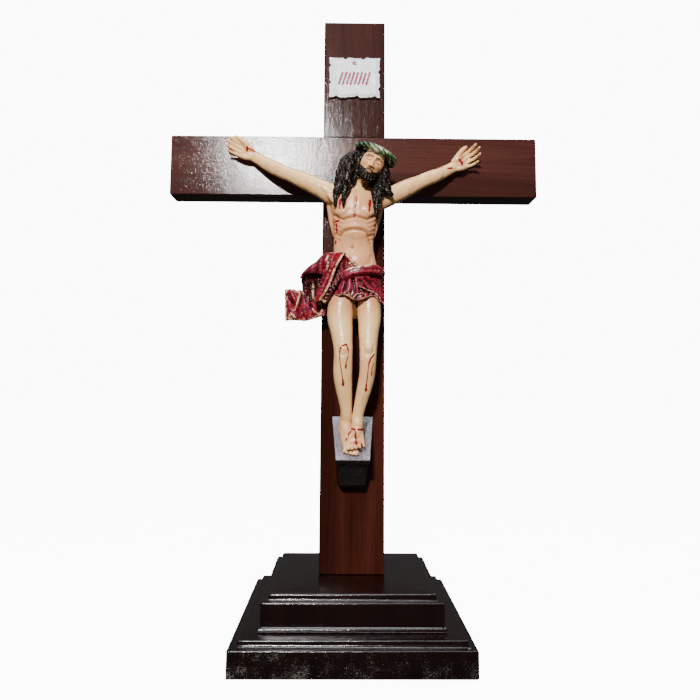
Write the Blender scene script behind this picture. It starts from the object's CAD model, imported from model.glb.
"""Looks of a standing altar crucifix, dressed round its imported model.

Units are metres, +Z is up and the front faces -Y. The cast figure is worked out in its own
millimetres (x to the viewer's right, forward from the cross face, up from the beam's centre)
and Figure.world turns those into the model's frame.
"""

import logging
import math
from collections.abc import Sequence
from dataclasses import dataclass, field, replace
from enum import Enum

import bpy
import numpy as np
from mathutils import Matrix, Vector
from mathutils.bvhtree import BVHTree


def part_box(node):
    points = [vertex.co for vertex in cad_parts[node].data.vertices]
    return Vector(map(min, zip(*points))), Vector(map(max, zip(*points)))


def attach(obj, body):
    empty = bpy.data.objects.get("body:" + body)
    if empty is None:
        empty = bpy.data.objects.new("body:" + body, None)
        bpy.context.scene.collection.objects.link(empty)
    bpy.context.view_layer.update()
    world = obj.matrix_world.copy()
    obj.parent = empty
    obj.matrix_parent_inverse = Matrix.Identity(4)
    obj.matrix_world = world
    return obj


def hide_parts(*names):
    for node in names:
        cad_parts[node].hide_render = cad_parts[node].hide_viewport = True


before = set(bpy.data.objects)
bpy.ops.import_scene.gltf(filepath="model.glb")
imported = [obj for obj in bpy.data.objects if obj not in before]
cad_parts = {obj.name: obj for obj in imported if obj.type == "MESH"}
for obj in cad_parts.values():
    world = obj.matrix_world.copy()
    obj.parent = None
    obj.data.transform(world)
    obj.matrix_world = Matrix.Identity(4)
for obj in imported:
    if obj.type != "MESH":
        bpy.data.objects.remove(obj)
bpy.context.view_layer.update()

FORWARD = np.array((0.0, 1.0, 0.0))

log = logging.getLogger("altar crucifix")

Array = np.ndarray
Mesh = bpy.types.Mesh
Material = bpy.types.Material
Node = bpy.types.Node
Tree = bpy.types.NodeTree
Wire = bpy.types.NodeSocket
Rows = Sequence[Sequence[float]]
Point = tuple[float, float, float]
Spot = tuple[float, float]
Stations = tuple[tuple[float, ...], ...]
Colour = tuple[float, float, float]
Value = float | tuple | Wire


# Surfaces


@dataclass
class Shell:
    """A closed surface.

    Attributes:
        points: One row of three numbers a point.
        quads: Four point numbers a face.
        triangles: Three point numbers a face.
        marks: Named values, one a point, that the finishes read.
    """

    points: Array
    quads: Array
    triangles: Array
    marks: dict[str, Array] = field(default_factory=dict)

    def outward(self) -> "Shell":
        """The same shell with its faces turned so that the enclosed volume is positive.

        Returns:
            The shell, or a copy with every face reversed.
        """
        p = self.points - self.points.mean(0)
        fans = np.vstack((self.triangles, self.quads[:, :3], self.quads[:, [0, 2, 3]]))
        a, b, c = p[fans[:, 0]], p[fans[:, 1]], p[fans[:, 2]]
        if np.einsum("ij,ij->i", a, np.cross(b, c)).sum() < 0:
            return Shell(self.points, self.quads[:, ::-1], self.triangles[:, ::-1], self.marks)
        return self


def joined(shells: Sequence[Shell]) -> Shell:
    """Several shells as one, with a mark that a shell lacks set to nought.

    Args:
        shells: The shells.

    Returns:
        One shell with the marks of all.
    """
    names = sorted({name for shell in shells for name in shell.marks})
    points, quads, triangles, start = [], [], [], 0
    marks: dict[str, list[Array]] = {name: [] for name in names}
    for shell in shells:
        shell = shell.outward()
        points.append(shell.points)
        quads.append(shell.quads + start)
        triangles.append(shell.triangles + start)
        for name in names:
            marks[name].append(shell.marks.get(name, np.zeros(len(shell.points))))
        start += len(shell.points)
    return Shell(np.vstack(points), np.vstack(quads), np.vstack(triangles),
                 {name: np.concatenate(values) for name, values in marks.items()})


def mesh_of(name: str, shell: Shell, smooth_below: float = 180.0) -> Mesh:
    """Put a shell into a mesh.

    Args:
        name: The mesh's name.
        shell: Points in metres, in the model's frame.
        smooth_below: Edges sharper than this many degrees stay sharp.

    Returns:
        The mesh, with each mark as a point attribute.
    """
    mesh = bpy.data.meshes.new(name)
    mesh.vertices.add(len(shell.points))
    mesh.vertices.foreach_set("co", shell.points.astype(np.float32).ravel())
    corners = np.concatenate((shell.quads.ravel(), shell.triangles.ravel())).astype(np.int32)
    sizes = np.concatenate((np.full(len(shell.quads), 4), np.full(len(shell.triangles), 3)))
    starts = np.concatenate(((0,), np.cumsum(sizes)[:-1])).astype(np.int32)
    mesh.loops.add(len(corners))
    mesh.loops.foreach_set("vertex_index", corners)
    mesh.polygons.add(len(sizes))
    mesh.polygons.foreach_set("loop_start", starts)
    mesh.update(calc_edges=True)
    for mark, values in shell.marks.items():
        mark_points(mesh, mark, values)
    mesh.shade_smooth()
    if smooth_below < 180.0:
        mesh.set_sharp_from_angle(angle=math.radians(smooth_below))
    return mesh


def through(stations: Rows, count: int) -> Array:
    """Rows read at even steps from a Catmull-Rom curve through rows of numbers.

    Args:
        stations: Rows of numbers, such as points.
        count: Rows to read.

    Returns:
        The rows, from the first station to the last.
    """
    rows = np.asarray(stations, dtype=float)
    padded = np.vstack((2 * rows[0] - rows[1], rows, 2 * rows[-1] - rows[-2]))
    at = np.linspace(0, len(rows) - 1, count)
    i = np.minimum(at.astype(int), len(rows) - 2)
    t = (at - i)[:, None]
    a, b, c, d = padded[i], padded[i + 1], padded[i + 2], padded[i + 3]
    return 0.5 * (2 * b + (c - a) * t + (2 * a - 5 * b + 4 * c - d) * t ** 2
                  + (3 * b - a - 3 * c + d) * t ** 3)


def loft(rings: Array, marks: dict[str, Array] | None = None) -> Shell:
    """A closed loft through rings of points, with a point at each end.

    Args:
        rings: An array of rings, points round a ring, and three coordinates.
        marks: Values for each point of the rings; the end points take their ring's mean.

    Returns:
        The loft as a shell.
    """
    count, sides, _ = rings.shape
    i, j = np.meshgrid(np.arange(count - 1), np.arange(sides), indexing="ij")
    k = (j + 1) % sides
    quads = np.stack((i * sides + j, i * sides + k, (i + 1) * sides + k, (i + 1) * sides + j), -1)
    points = np.vstack((rings.reshape(-1, 3), rings[0].mean(0), rings[-1].mean(0)))
    s = np.arange(sides)
    n = (s + 1) % sides
    first, last, base = count * sides, count * sides + 1, (count - 1) * sides
    triangles = np.vstack((np.stack((np.full(sides, first), n, s), -1),
                           np.stack((np.full(sides, last), base + s, base + n), -1)))
    kept = {name: np.concatenate((v.ravel(), (v[0].mean(),), (v[-1].mean(),)))
            for name, v in (marks or {}).items()}
    return Shell(points, quads.reshape(-1, 4), triangles, kept)


def ring_loft(rings: Array, marks: dict[str, Array] | None = None) -> Shell:
    """A loft whose last ring runs back into its first.

    Args:
        rings: An array of rings.
        marks: Values for each point of the rings.

    Returns:
        The closed ring as a shell.
    """
    count, sides, _ = rings.shape
    i, j = np.meshgrid(np.arange(count), np.arange(sides), indexing="ij")
    n, k = (i + 1) % count, (j + 1) % sides
    quads = np.stack((i * sides + j, n * sides + j, n * sides + k, i * sides + k), -1)
    kept = {name: v.ravel() for name, v in (marks or {}).items()}
    return Shell(rings.reshape(-1, 3), quads.reshape(-1, 4), np.zeros((0, 3), int), kept)


def along_path(centre: Array, across: Array, deep: Array, sides: int) -> Array:
    """Rings of ellipses along a line.

    The depth axis of each ring is the forward direction made square to the line, the width
    axis is square to both, and a ring's point is centre + width * cos + depth * sin.

    Args:
        centre: Points of the line.
        across: Half width at each point.
        deep: Half depth at each point.
        sides: Points round a ring.

    Returns:
        An array of rings.
    """
    tangent = np.gradient(centre, axis=0)
    tangent /= np.maximum(np.linalg.norm(tangent, axis=1, keepdims=True), 1e-9)
    depth = FORWARD - tangent * (tangent @ FORWARD)[:, None]
    depth /= np.maximum(np.linalg.norm(depth, axis=1, keepdims=True), 1e-9)
    width = np.cross(depth, tangent)
    angle = np.linspace(0, 2 * np.pi, sides, endpoint=False)
    return (centre[:, None] + width[:, None] * (across[:, None] * np.cos(angle))[..., None]
            + depth[:, None] * (deep[:, None] * np.sin(angle))[..., None])


def limb(stations: Rows, rings: int = 60, sides: int = 40) -> Shell:
    """Loft of ellipses through stations of x, forward, up, half width and half depth."""
    rows = through(stations, rings)
    return loft(along_path(rows[:, :3], rows[:, 3], rows[:, 4], sides))


def rod(path: Rows, radii: Sequence[float], rings: int = 24, sides: int = 20) -> Shell:
    """A round-ended tube.

    The line is a Catmull-Rom curve through the path, and a half ball whose radius is the end
    radius closes each end.

    Args:
        path: Points of the line.
        radii: A radius for each point.
        rings: Rings between the ends.
        sides: Points round a ring.

    Returns:
        The tube as a shell.
    """
    rows = through([(*p, r) for p, r in zip(path, radii)], rings)
    line, size = rows[:, :3], rows[:, 3]
    cap = np.linspace(90, 12, 6)[:-1]
    rise, shrink = np.sin(np.radians(cap))[:, None], np.cos(np.radians(cap))
    head = (line[0] - line[1]) / np.linalg.norm(line[0] - line[1])
    tail = (line[-1] - line[-2]) / np.linalg.norm(line[-1] - line[-2])
    line = np.vstack((line[0] + head * size[0] * rise, line, (line[-1] + tail * size[-1] * rise)[::-1]))
    size = np.maximum(np.concatenate((size[0] * shrink, size, size[-1] * shrink[::-1])), 0.02)
    return loft(along_path(line, size, size, sides))


def ball(centre: Sequence[float], size: Sequence[float], turn: float = 0.0) -> Shell:
    """An ellipsoid, turned by so many degrees in the plane that the viewer faces.

    Args:
        centre: Its middle.
        size: Its three half lengths.
        turn: Degrees anticlockwise.

    Returns:
        The ellipsoid as a shell.
    """
    polar = np.linspace(0.06, np.pi - 0.06, 24)[:, None]
    around = np.linspace(0, 2 * np.pi, 32, endpoint=False)[None, :]
    x = size[0] * np.sin(polar) * np.cos(around)
    out = size[1] * np.sin(polar) * np.sin(around)
    up = size[2] * np.cos(polar) + 0 * around
    c, s = math.cos(math.radians(turn)), math.sin(math.radians(turn))
    return loft(np.stack((centre[0] + c * x - s * up, centre[1] + out, centre[2] + s * x + c * up), -1))


def slab(sheet: Array, thickness: float, marks: dict[str, Array] | None = None) -> Shell:
    """A closed slab round a grid of points, with a half-round rim.

    The grid is moved half the thickness along its normal both ways, and a row of points half
    the thickness beyond the border joins the two sides.

    Args:
        sheet: The grid of points.
        thickness: Thickness of the slab.
        marks: A value for each point of the grid.

    Returns:
        The slab as a shell.
    """
    rows, columns, _ = sheet.shape
    normal = np.cross(np.gradient(sheet, axis=0), np.gradient(sheet, axis=1))
    normal /= np.maximum(np.linalg.norm(normal, axis=-1, keepdims=True), 1e-9)
    number = np.arange(rows * columns).reshape(rows, columns)
    a, b, c, d = number[:-1, :-1], number[1:, :-1], number[1:, 1:], number[:-1, 1:]
    front = np.stack((a, b, c, d), -1).reshape(-1, 4)
    rim = np.concatenate((number[0, :-1], number[:-1, -1], number[-1, :0:-1], number[:0:-1, 0]))
    inner = np.clip(np.stack(np.divmod(rim, columns), -1), 1, (rows - 2, columns - 2))
    flat = sheet.reshape(-1, 3)
    away = flat[rim] - sheet[inner[:, 0], inner[:, 1]]
    away /= np.maximum(np.linalg.norm(away, axis=1, keepdims=True), 1e-9)
    total = rows * columns
    middle = 2 * total + np.arange(len(rim))
    after, ahead = np.roll(rim, -1), np.roll(middle, -1)
    edges = np.vstack((np.stack((rim, after, ahead, middle), -1),
                       np.stack((middle, ahead, after + total, rim + total), -1)))
    shift = normal.reshape(-1, 3) * thickness / 2
    points = np.vstack((flat + shift, flat - shift, flat[rim] + away * thickness / 2))
    kept = {name: np.concatenate((v.ravel(), v.ravel(), v.ravel()[rim]))
            for name, v in (marks or {}).items()}
    return Shell(points, np.vstack((front, front[:, ::-1] + total, edges[:, ::-1])),
                 np.zeros((0, 3), int), kept)


def mound(side: Array, up: Array, at: Sequence[float], size: Sequence[float]) -> Array:
    """A smooth bump of height one: a bell of the distance from its centre in both directions."""
    return np.exp(-((side - at[0]) / size[0]) ** 2 - ((up - at[1]) / size[1]) ** 2)


def ease(low: float, high: float, value: Array) -> Array:
    """Nought below low, one above high, and a smooth step between them."""
    t = np.clip((value - low) / (high - low), 0, 1)
    return t * t * (3 - 2 * t)


def crease(side: Array, up: Array, line: Rows, width: float) -> Array:
    """A smooth ridge of height one along a line of (side, up) points.

    Args:
        side: Place of each point across.
        up: Place of each point upwards.
        line: Points of the line.
        width: Distance at which the ridge has sunk to 1/e.

    Returns:
        A height for each point.
    """
    nearest = np.full(np.broadcast(side, up).shape, 1e9)
    for (x0, y0), (x1, y1) in zip(line[:-1], line[1:]):
        dx, dy = x1 - x0, y1 - y0
        t = np.clip(((side - x0) * dx + (up - y0) * dy) / (dx * dx + dy * dy), 0, 1)
        nearest = np.minimum(nearest, (side - x0 - t * dx) ** 2 + (up - y0 - t * dy) ** 2)
    return np.exp(-nearest / width ** 2)


def modelled(side: Array, up: Array, rows: Sequence[tuple]) -> Array:
    """Height of many ridges and mounds together.

    Args:
        side: Place of each point across.
        up: Place of each point upwards.
        rows: Height, place and size of each form. A ridge has a line of points and one width;
            a mound has one point and a size both ways.

    Returns:
        A height for each point.
    """
    total = 0 * side
    for height, place, size in rows:
        shape = mound if isinstance(size, tuple) else crease
        total = total + height * shape(side, up, place, size)
    return total


def read_points(mesh: Mesh, source: str = "co") -> Array:
    """Vertex places or normals of a mesh as an array.

    Args:
        mesh: The mesh.
        source: The vertices' property to read.

    Returns:
        One row of three numbers a vertex.
    """
    values = np.empty(len(mesh.vertices) * 3, dtype=np.float32)
    mesh.vertices.foreach_get(source, values)
    return values.reshape(-1, 3).astype(float)


def move_points(mesh: Mesh, points: Array) -> None:
    """Set the place of each point of a mesh."""
    mesh.vertices.foreach_set("co", points.astype(np.float32).ravel())
    mesh.update()


def hollows(mesh: Mesh, rounds: int) -> Array:
    """Depth of folds in millimetres.

    The points are drawn to the mean of their neighbours again and again; a point's depth is how
    far its smoothed place stands out from it along its normal.

    Args:
        mesh: The mesh.
        rounds: How often the points are drawn; more rounds find wider folds.

    Returns:
        A depth for each point, above nought in a hollow and below it on a ridge.
    """
    points, normals = read_points(mesh), read_points(mesh, "normal")
    ends = np.empty(len(mesh.edges) * 2, dtype=np.int32)
    mesh.edges.foreach_get("vertices", ends)
    a, b = ends.reshape(-1, 2).T
    count = len(points)
    degree = np.maximum(np.bincount(a, minlength=count) + np.bincount(b, minlength=count), 1)
    smooth = points.T.copy()
    for _ in range(rounds):
        for row in smooth:
            row[:] = (row + (np.bincount(a, row[b], count) + np.bincount(b, row[a], count)) / degree) / 2
    return np.einsum("ij,ij->i", smooth.T - points, normals) * 1000


def mark_points(mesh: Mesh, name: str, values: Array) -> None:
    """Give a mesh a value at each point."""
    mesh.attributes.new(name, "FLOAT", "POINT").data.foreach_set("value", values.astype(np.float32))


def settled(item: bpy.types.Object) -> Mesh:
    """The mesh of a piece after its modifiers, which are then gone.

    Args:
        item: The piece.

    Returns:
        The new mesh, which the piece now has.
    """
    graph = bpy.context.evaluated_depsgraph_get()
    mesh = bpy.data.meshes.new_from_object(item.evaluated_get(graph))
    item.modifiers.clear()
    item.data = mesh
    mesh.name = item.name
    return mesh


def thinned(mesh: Mesh, limit: int) -> Mesh:
    """A copy of a mesh with fewer triangles where it is flat.

    Args:
        mesh: The mesh.
        limit: The most triangles that the copy may have.

    Returns:
        The copy, with the marks carried over and shaded smooth.
    """
    item = bpy.data.objects.new(mesh.name + " thinned", mesh)
    bpy.context.scene.collection.objects.link(item)
    mesh.calc_loop_triangles()
    thin = item.modifiers.new("fewer faces", "DECIMATE")
    thin.ratio = min(1.0, limit / len(mesh.loop_triangles))
    mesh = settled(item)
    bpy.data.objects.remove(item)
    mesh.shade_smooth()
    return mesh


# Shader nodes


class Nodes:
    """Short calls that add nodes to one tree and wire them."""

    def __init__(self, tree: Tree) -> None:
        """Work on a tree."""
        self.tree = tree

    def add(self, kind: str, **settings: object) -> Node:
        """A new node with its settings.

        Args:
            kind: The node's type.
            settings: Values of the node's own settings.

        Returns:
            The node.
        """
        node = self.tree.nodes.new(kind)
        for name, value in settings.items():
            setattr(node, name, value)
        return node

    def feed(self, socket: Wire, value: Value) -> None:
        """Link a socket to a wire, or set its constant.

        Args:
            socket: An input.
            value: A wire, a number, a vector or a colour.
        """
        if isinstance(value, Wire):
            self.tree.links.new(value, socket)
        elif socket.type == "RGBA" and len(value) == 3:
            socket.default_value = (*value, 1.0)
        else:
            socket.default_value = value

    def wired(self, kind: str, output: int | str, inputs: dict[int | str, Value],
              **settings: object) -> Wire:
        """One output of a new node.

        Args:
            kind: The node's type.
            output: The output's number or name.
            inputs: A wire or a constant for each input, by its number or name.
            settings: The node's settings.

        Returns:
            The output.
        """
        node = self.add(kind, **settings)
        for socket, value in inputs.items():
            self.feed(node.inputs[socket], value)
        return node.outputs[output]

    def math(self, operation: str, first: Value, second: Value = 0.0, clamp: bool = False) -> Wire:
        """Arithmetic on values."""
        return self.wired("ShaderNodeMath", 0, {0: first, 1: second}, operation=operation,
                          use_clamp=clamp)

    def vector(self, operation: str, first: Value, second: Value = (0.0, 0.0, 0.0),
               output: int = 0) -> Wire:
        """Arithmetic on vectors; output 1 is the one that gives a number."""
        return self.wired("ShaderNodeVectorMath", output, {0: first, 1: second},
                          operation=operation)

    def place(self) -> Wire:
        """Object coordinates."""
        return self.add("ShaderNodeTexCoord").outputs["Object"]

    def mapped(self, vector: Value, **changes: Sequence[float]) -> Wire:
        """Coordinates after a Mapping node's rotation or scale."""
        inputs = {name.capitalize(): value for name, value in changes.items()}
        return self.wired("ShaderNodeMapping", 0, {"Vector": vector, **inputs})

    def noise(self, vector: Value, scale: float, detail: float = 2.0, roughness: float = 0.5,
              distortion: float = 0.0) -> Wire:
        """Soft noise from nought to one.

        Args:
            vector: Coordinates.
            scale: Lumps a metre, about.
            detail: How many finer layers are added.
            roughness: Strength of the finer layers.
            distortion: How far the lumps are pulled about.

        Returns:
            The noise's value.
        """
        return self.wired("ShaderNodeTexNoise", "Fac",
                          {"Vector": vector, "Scale": scale, "Detail": detail,
                           "Roughness": roughness, "Distortion": distortion})

    def span(self, value: Value, low: float, high: float, to_low: float = 0.0,
             to_high: float = 1.0) -> Wire:
        """A range drawn out to another, smoothly, and held at its ends.

        Args:
            value: The value to read.
            low: Start of its range.
            high: End of its range.
            to_low: What the start becomes.
            to_high: What the end becomes.

        Returns:
            The value in the new range.
        """
        return self.wired("ShaderNodeMapRange", "Result",
                          {"Value": value, "From Min": low, "From Max": high,
                           "To Min": to_low, "To Max": to_high},
                          interpolation_type="SMOOTHSTEP")

    def blend(self, factor: Value, first: Value, second: Value) -> Wire:
        """Two colours mixed by a factor."""
        return self.wired("ShaderNodeMix", 2, {0: factor, 6: first, 7: second}, data_type="RGBA")

    def mark(self, name: str) -> Wire:
        """A value that the mesh carries at its points."""
        return self.add("ShaderNodeAttribute", attribute_name=name).outputs["Fac"]

    def bump(self, height: Value, strength: float, distance: float) -> Wire:
        """A normal bent by a height."""
        return self.wired("ShaderNodeBump", 0,
                          {"Height": height, "Strength": strength, "Distance": distance})

    def effect(self, group: Tree, output: str, **inputs: Value) -> Wire:
        """One output of a shared node group.

        Args:
            group: The group.
            output: The output's name.
            inputs: A wire or a constant for each input, by its name in small letters.

        Returns:
            The output.
        """
        return self.wired("ShaderNodeGroup", output,
                          {name.capitalize(): value for name, value in inputs.items()},
                          node_tree=group)

    def shade(self, shader: Node, **values: Value) -> None:
        """Feed the sockets of a shader.

        Args:
            shader: The shader.
            values: A wire or a constant for each socket, by its name with underscores.
        """
        for name, value in values.items():
            label = name.replace("_", " ").title().replace("Ior", "IOR")
            self.feed(shader.inputs[label], value)


class Socket(Enum):
    """Kinds of group sockets."""

    VALUE = "NodeSocketFloat"
    VECTOR = "NodeSocketVector"


class Effects:
    """Node groups that several finishes share: grain, lacquer ripple, brush stroke, specks."""

    def __init__(self) -> None:
        """Build each group once."""
        self.grain = self.build_grain()
        self.ripple = self.build_ripple()
        self.stroke = self.build_stroke()
        self.specks = self.build_specks()

    @staticmethod
    def start(name: str, inputs: dict[str, Socket],
              outputs: Sequence[str]) -> tuple[Nodes, Node, Node]:
        """A new group with its sockets, and its inner end nodes.

        Args:
            name: The group's name.
            inputs: Kind of each input, by name.
            outputs: Names of the outputs.

        Returns:
            The group's nodes, and its input and output nodes.
        """
        tree = bpy.data.node_groups.new(name, "ShaderNodeTree")
        for socket, kind in inputs.items():
            tree.interface.new_socket(socket, in_out="INPUT", socket_type=kind.value)
        for socket in outputs:
            tree.interface.new_socket(socket, in_out="OUTPUT", socket_type=Socket.VALUE.value)
        nodes = Nodes(tree)
        return nodes, nodes.add("NodeGroupInput"), nodes.add("NodeGroupOutput")

    def build_grain(self) -> Tree:
        """Wood figure along Z of its vector: broad tone, fine streaks and short dark pores.

        Returns:
            The group.
        """
        nodes, inner, outer = self.start("wood grain", {"Vector": Socket.VECTOR},
                                         ("Tone", "Streaks", "Pores"))
        vector = inner.outputs["Vector"]
        tone = nodes.noise(nodes.mapped(vector, scale=(1.0, 1.0, 0.06)), 55.0, 3.0, 0.55, 0.6)
        streaks = nodes.noise(nodes.mapped(vector, scale=(1.0, 1.0, 0.025)), 620.0, 3.0, 0.6)
        pores = nodes.noise(nodes.mapped(vector, scale=(1.0, 1.0, 0.08)), 1500.0, 1.0, 0.4)
        nodes.feed(outer.inputs["Tone"], nodes.span(tone, 0.3, 0.7))
        nodes.feed(outer.inputs["Streaks"], nodes.span(streaks, 0.3, 0.72))
        nodes.feed(outer.inputs["Pores"], nodes.span(pores, 0.62, 0.78))
        return nodes.tree

    def build_ripple(self) -> Tree:
        """Orange peel of thick brushed lacquer: two sizes of dimple as one height.

        Returns:
            The group.
        """
        nodes, inner, outer = self.start("lacquer ripple", {"Vector": Socket.VECTOR}, ("Height",))
        vector = inner.outputs["Vector"]
        broad = nodes.math("MULTIPLY", nodes.noise(vector, 150.0, 1.0), 0.4)
        fine = nodes.math("MULTIPLY", nodes.noise(vector, 900.0, 2.0, 0.6), 0.4)
        nodes.feed(outer.inputs["Height"], nodes.math("ADD", broad, fine))
        return nodes.tree

    def build_stroke(self) -> Tree:
        """One stroke of paint: near to a line between two points, with a ragged edge.

        Returns:
            The group.
        """
        nodes, inner, outer = self.start(
            "paint stroke", {"Vector": Socket.VECTOR, "Start": Socket.VECTOR, "End": Socket.VECTOR,
                             "Radius": Socket.VALUE, "Ragged": Socket.VALUE}, ("Mask",))
        value = inner.outputs
        reach = nodes.vector("SUBTRACT", value["End"], value["Start"])
        arm = nodes.vector("SUBTRACT", value["Vector"], value["Start"])
        share = nodes.math("DIVIDE", nodes.vector("DOT_PRODUCT", arm, reach, 1),
                           nodes.vector("DOT_PRODUCT", reach, reach, 1), clamp=True)
        along = nodes.wired("ShaderNodeVectorMath", 0, {0: reach, 3: share}, operation="SCALE")
        away = nodes.vector("SUBTRACT", arm, along)
        distance = nodes.vector("LENGTH", away, output=1)
        wobble = nodes.math("SUBTRACT", nodes.noise(value["Vector"], 1100.0, 2.0, 0.6), 0.5)
        ratio = nodes.math("ADD", nodes.math("DIVIDE", distance, value["Radius"]),
                           nodes.math("MULTIPLY", wobble, value["Ragged"]))
        nodes.feed(outer.inputs["Mask"], nodes.span(ratio, 0.7, 1.15, 1.0, 0.0))
        return nodes.tree

    def build_specks(self) -> Tree:
        """Scattered chips and dust: small cells kept only where a cloud is thick.

        Returns:
            The group.
        """
        nodes, inner, outer = self.start(
            "specks", {"Vector": Socket.VECTOR, "Amount": Socket.VALUE}, ("Mask",))
        vector = inner.outputs["Vector"]
        cloud = nodes.noise(vector, 95.0, 3.0, 0.6)
        fine = nodes.noise(vector, 1300.0, 3.0, 0.7)
        thick = nodes.math("MULTIPLY", cloud, inner.outputs["Amount"])
        nodes.feed(outer.inputs["Mask"], nodes.span(nodes.math("ADD", fine, thick), 0.86, 1.0))
        return nodes.tree


# Finishes


def start_material(name: str) -> tuple[Material, Nodes, Node]:
    """An empty Principled material, its nodes and its shader.

    Args:
        name: The material's name.

    Returns:
        The material, its nodes and its shader.
    """
    material = bpy.data.materials.new(name)
    material.use_nodes = True
    return material, Nodes(material.node_tree), material.node_tree.nodes["Principled BSDF"]


class Grain(Enum):
    """Which way a board's grain runs, as the rotation that turns it onto Z."""

    UPRIGHT = (0.0, 0.0, 0.0)
    LEVEL = (0.0, math.pi / 2, 0.0)


@dataclass(frozen=True)
class VarnishedBoard:
    """Red-brown board under gloss varnish whose brushed skin sparkles in a glare."""

    light: Colour = (0.066, 0.0150, 0.0085)
    deep: Colour = (0.026, 0.0052, 0.0030)
    pore: Colour = (0.008, 0.0016, 0.0010)
    ripple: float = 0.22
    specular: float = 0.19

    def make(self, name: str, effects: Effects, grain: Grain) -> Material:
        """The material, with its grain upright or level.

        Args:
            name: The material's name.
            effects: The shared groups.
            grain: Which way the grain runs.

        Returns:
            The material.
        """
        material, nodes, shader = start_material(name)
        vector = nodes.mapped(nodes.place(), rotation=grain.value)
        tone, streaks, pores = (nodes.effect(effects.grain, output, vector=vector)
                                for output in ("Tone", "Streaks", "Pores"))
        colour = nodes.blend(tone, self.deep, self.light)
        colour = nodes.blend(nodes.math("MULTIPLY", streaks, 0.35), colour, self.pore)
        colour = nodes.blend(nodes.math("MULTIPLY", pores, 0.5), colour, self.pore)
        height = nodes.effect(effects.ripple, "Height", vector=nodes.place())
        nodes.shade(shader, base_color=colour, normal=nodes.bump(height, self.ripple, 0.0009),
                    roughness=nodes.span(streaks, 0.0, 1.0, 0.085, 0.13),
                    specular_ior_level=self.specular)
        return material


@dataclass(frozen=True)
class DarkLacquer:
    """Near-black maroon lacquer, with grey scuffs and dust low on its faces or on a slope."""

    colour: Colour = (0.0042, 0.0014, 0.0012)
    bare: Colour = (0.013, 0.0036, 0.0026)
    dust: Colour = (0.14, 0.14, 0.125)
    haze: Colour = (0.25, 0.218, 0.255)
    dusty_below: float = 0.0
    hazy_slope: float = 0.0
    gloss: float = 0.13
    ripple: float = 0.30
    specular: float = 0.5

    def make(self, name: str, effects: Effects) -> Material:
        """The material.

        Args:
            name: The material's name.
            effects: The shared groups.

        Returns:
            Lacquer whose dust grows thicker towards the ground and the left. Its haze lies on
            the mesh's tilted parts, or on the plane whose height minus depth is the slope's.
        """
        material, nodes, shader = start_material(name)
        vector = nodes.place()
        streaks = nodes.effect(effects.grain, "Tone", vector=vector)
        colour = nodes.blend(nodes.math("MULTIPLY", streaks, 0.4), self.colour, self.bare)
        rough: Value = self.gloss
        parts = nodes.add("ShaderNodeSeparateXYZ")
        nodes.feed(parts.inputs[0], vector)
        across, deep, high = parts.outputs
        if self.dusty_below:
            low = nodes.span(high, 0.0, self.dusty_below, 0.58, 0.47)
            left = nodes.span(across, -0.08, 0.05, 0.08, 0.0)
            top = nodes.span(high, self.dusty_below * 0.9, self.dusty_below, 0.0, -0.4)
            amount = nodes.math("ADD", nodes.math("ADD", low, left), top)
            dust = nodes.effect(effects.specks, "Mask", vector=vector, amount=amount)
            colour = nodes.blend(nodes.math("MULTIPLY", dust, 0.75), colour, self.dust)
            rough = nodes.span(dust, 0.0, 1.0, self.gloss, 0.6)
        near = nodes.mark("tilt")
        if self.hazy_slope:
            plane = nodes.math("SUBTRACT", high, deep)
            near = nodes.span(plane, self.hazy_slope - 0.0012, self.hazy_slope - 0.0004)
        sparkle = nodes.span(nodes.noise(vector, 850.0, 4.0, 0.75), 0.36, 0.60, 0.42, 1.3)
        colour = nodes.blend(nodes.math("MULTIPLY", near, sparkle), colour, self.haze)
        height = nodes.effect(effects.ripple, "Height", vector=vector)
        nodes.shade(shader, base_color=colour, roughness=rough,
                    normal=nodes.bump(height, self.ripple, 0.0009),
                    specular_ior_level=self.specular)
        return material


@dataclass(frozen=True)
class Stroke:
    """A painted line on the figure through (x, up) points seen from the front, in millimetres."""

    radius: float
    line: tuple[Spot, ...]

    def pieces(self, longest: float = 9.0) -> list[tuple[Spot, Spot]]:
        """The line cut into short pieces, so that each can lie on the curved surface.

        Args:
            longest: Greatest length of a piece.

        Returns:
            Start and end of each piece.
        """
        cut = []
        for (x0, y0), (x1, y1) in zip(self.line[:-1], self.line[1:]):
            count = max(1, math.ceil(math.hypot(x1 - x0, y1 - y0) / longest))
            at = [(x0 + (x1 - x0) * i / count, y0 + (y1 - y0) * i / count) for i in range(count + 1)]
            cut += list(zip(at[:-1], at[1:]))
        return cut


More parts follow.
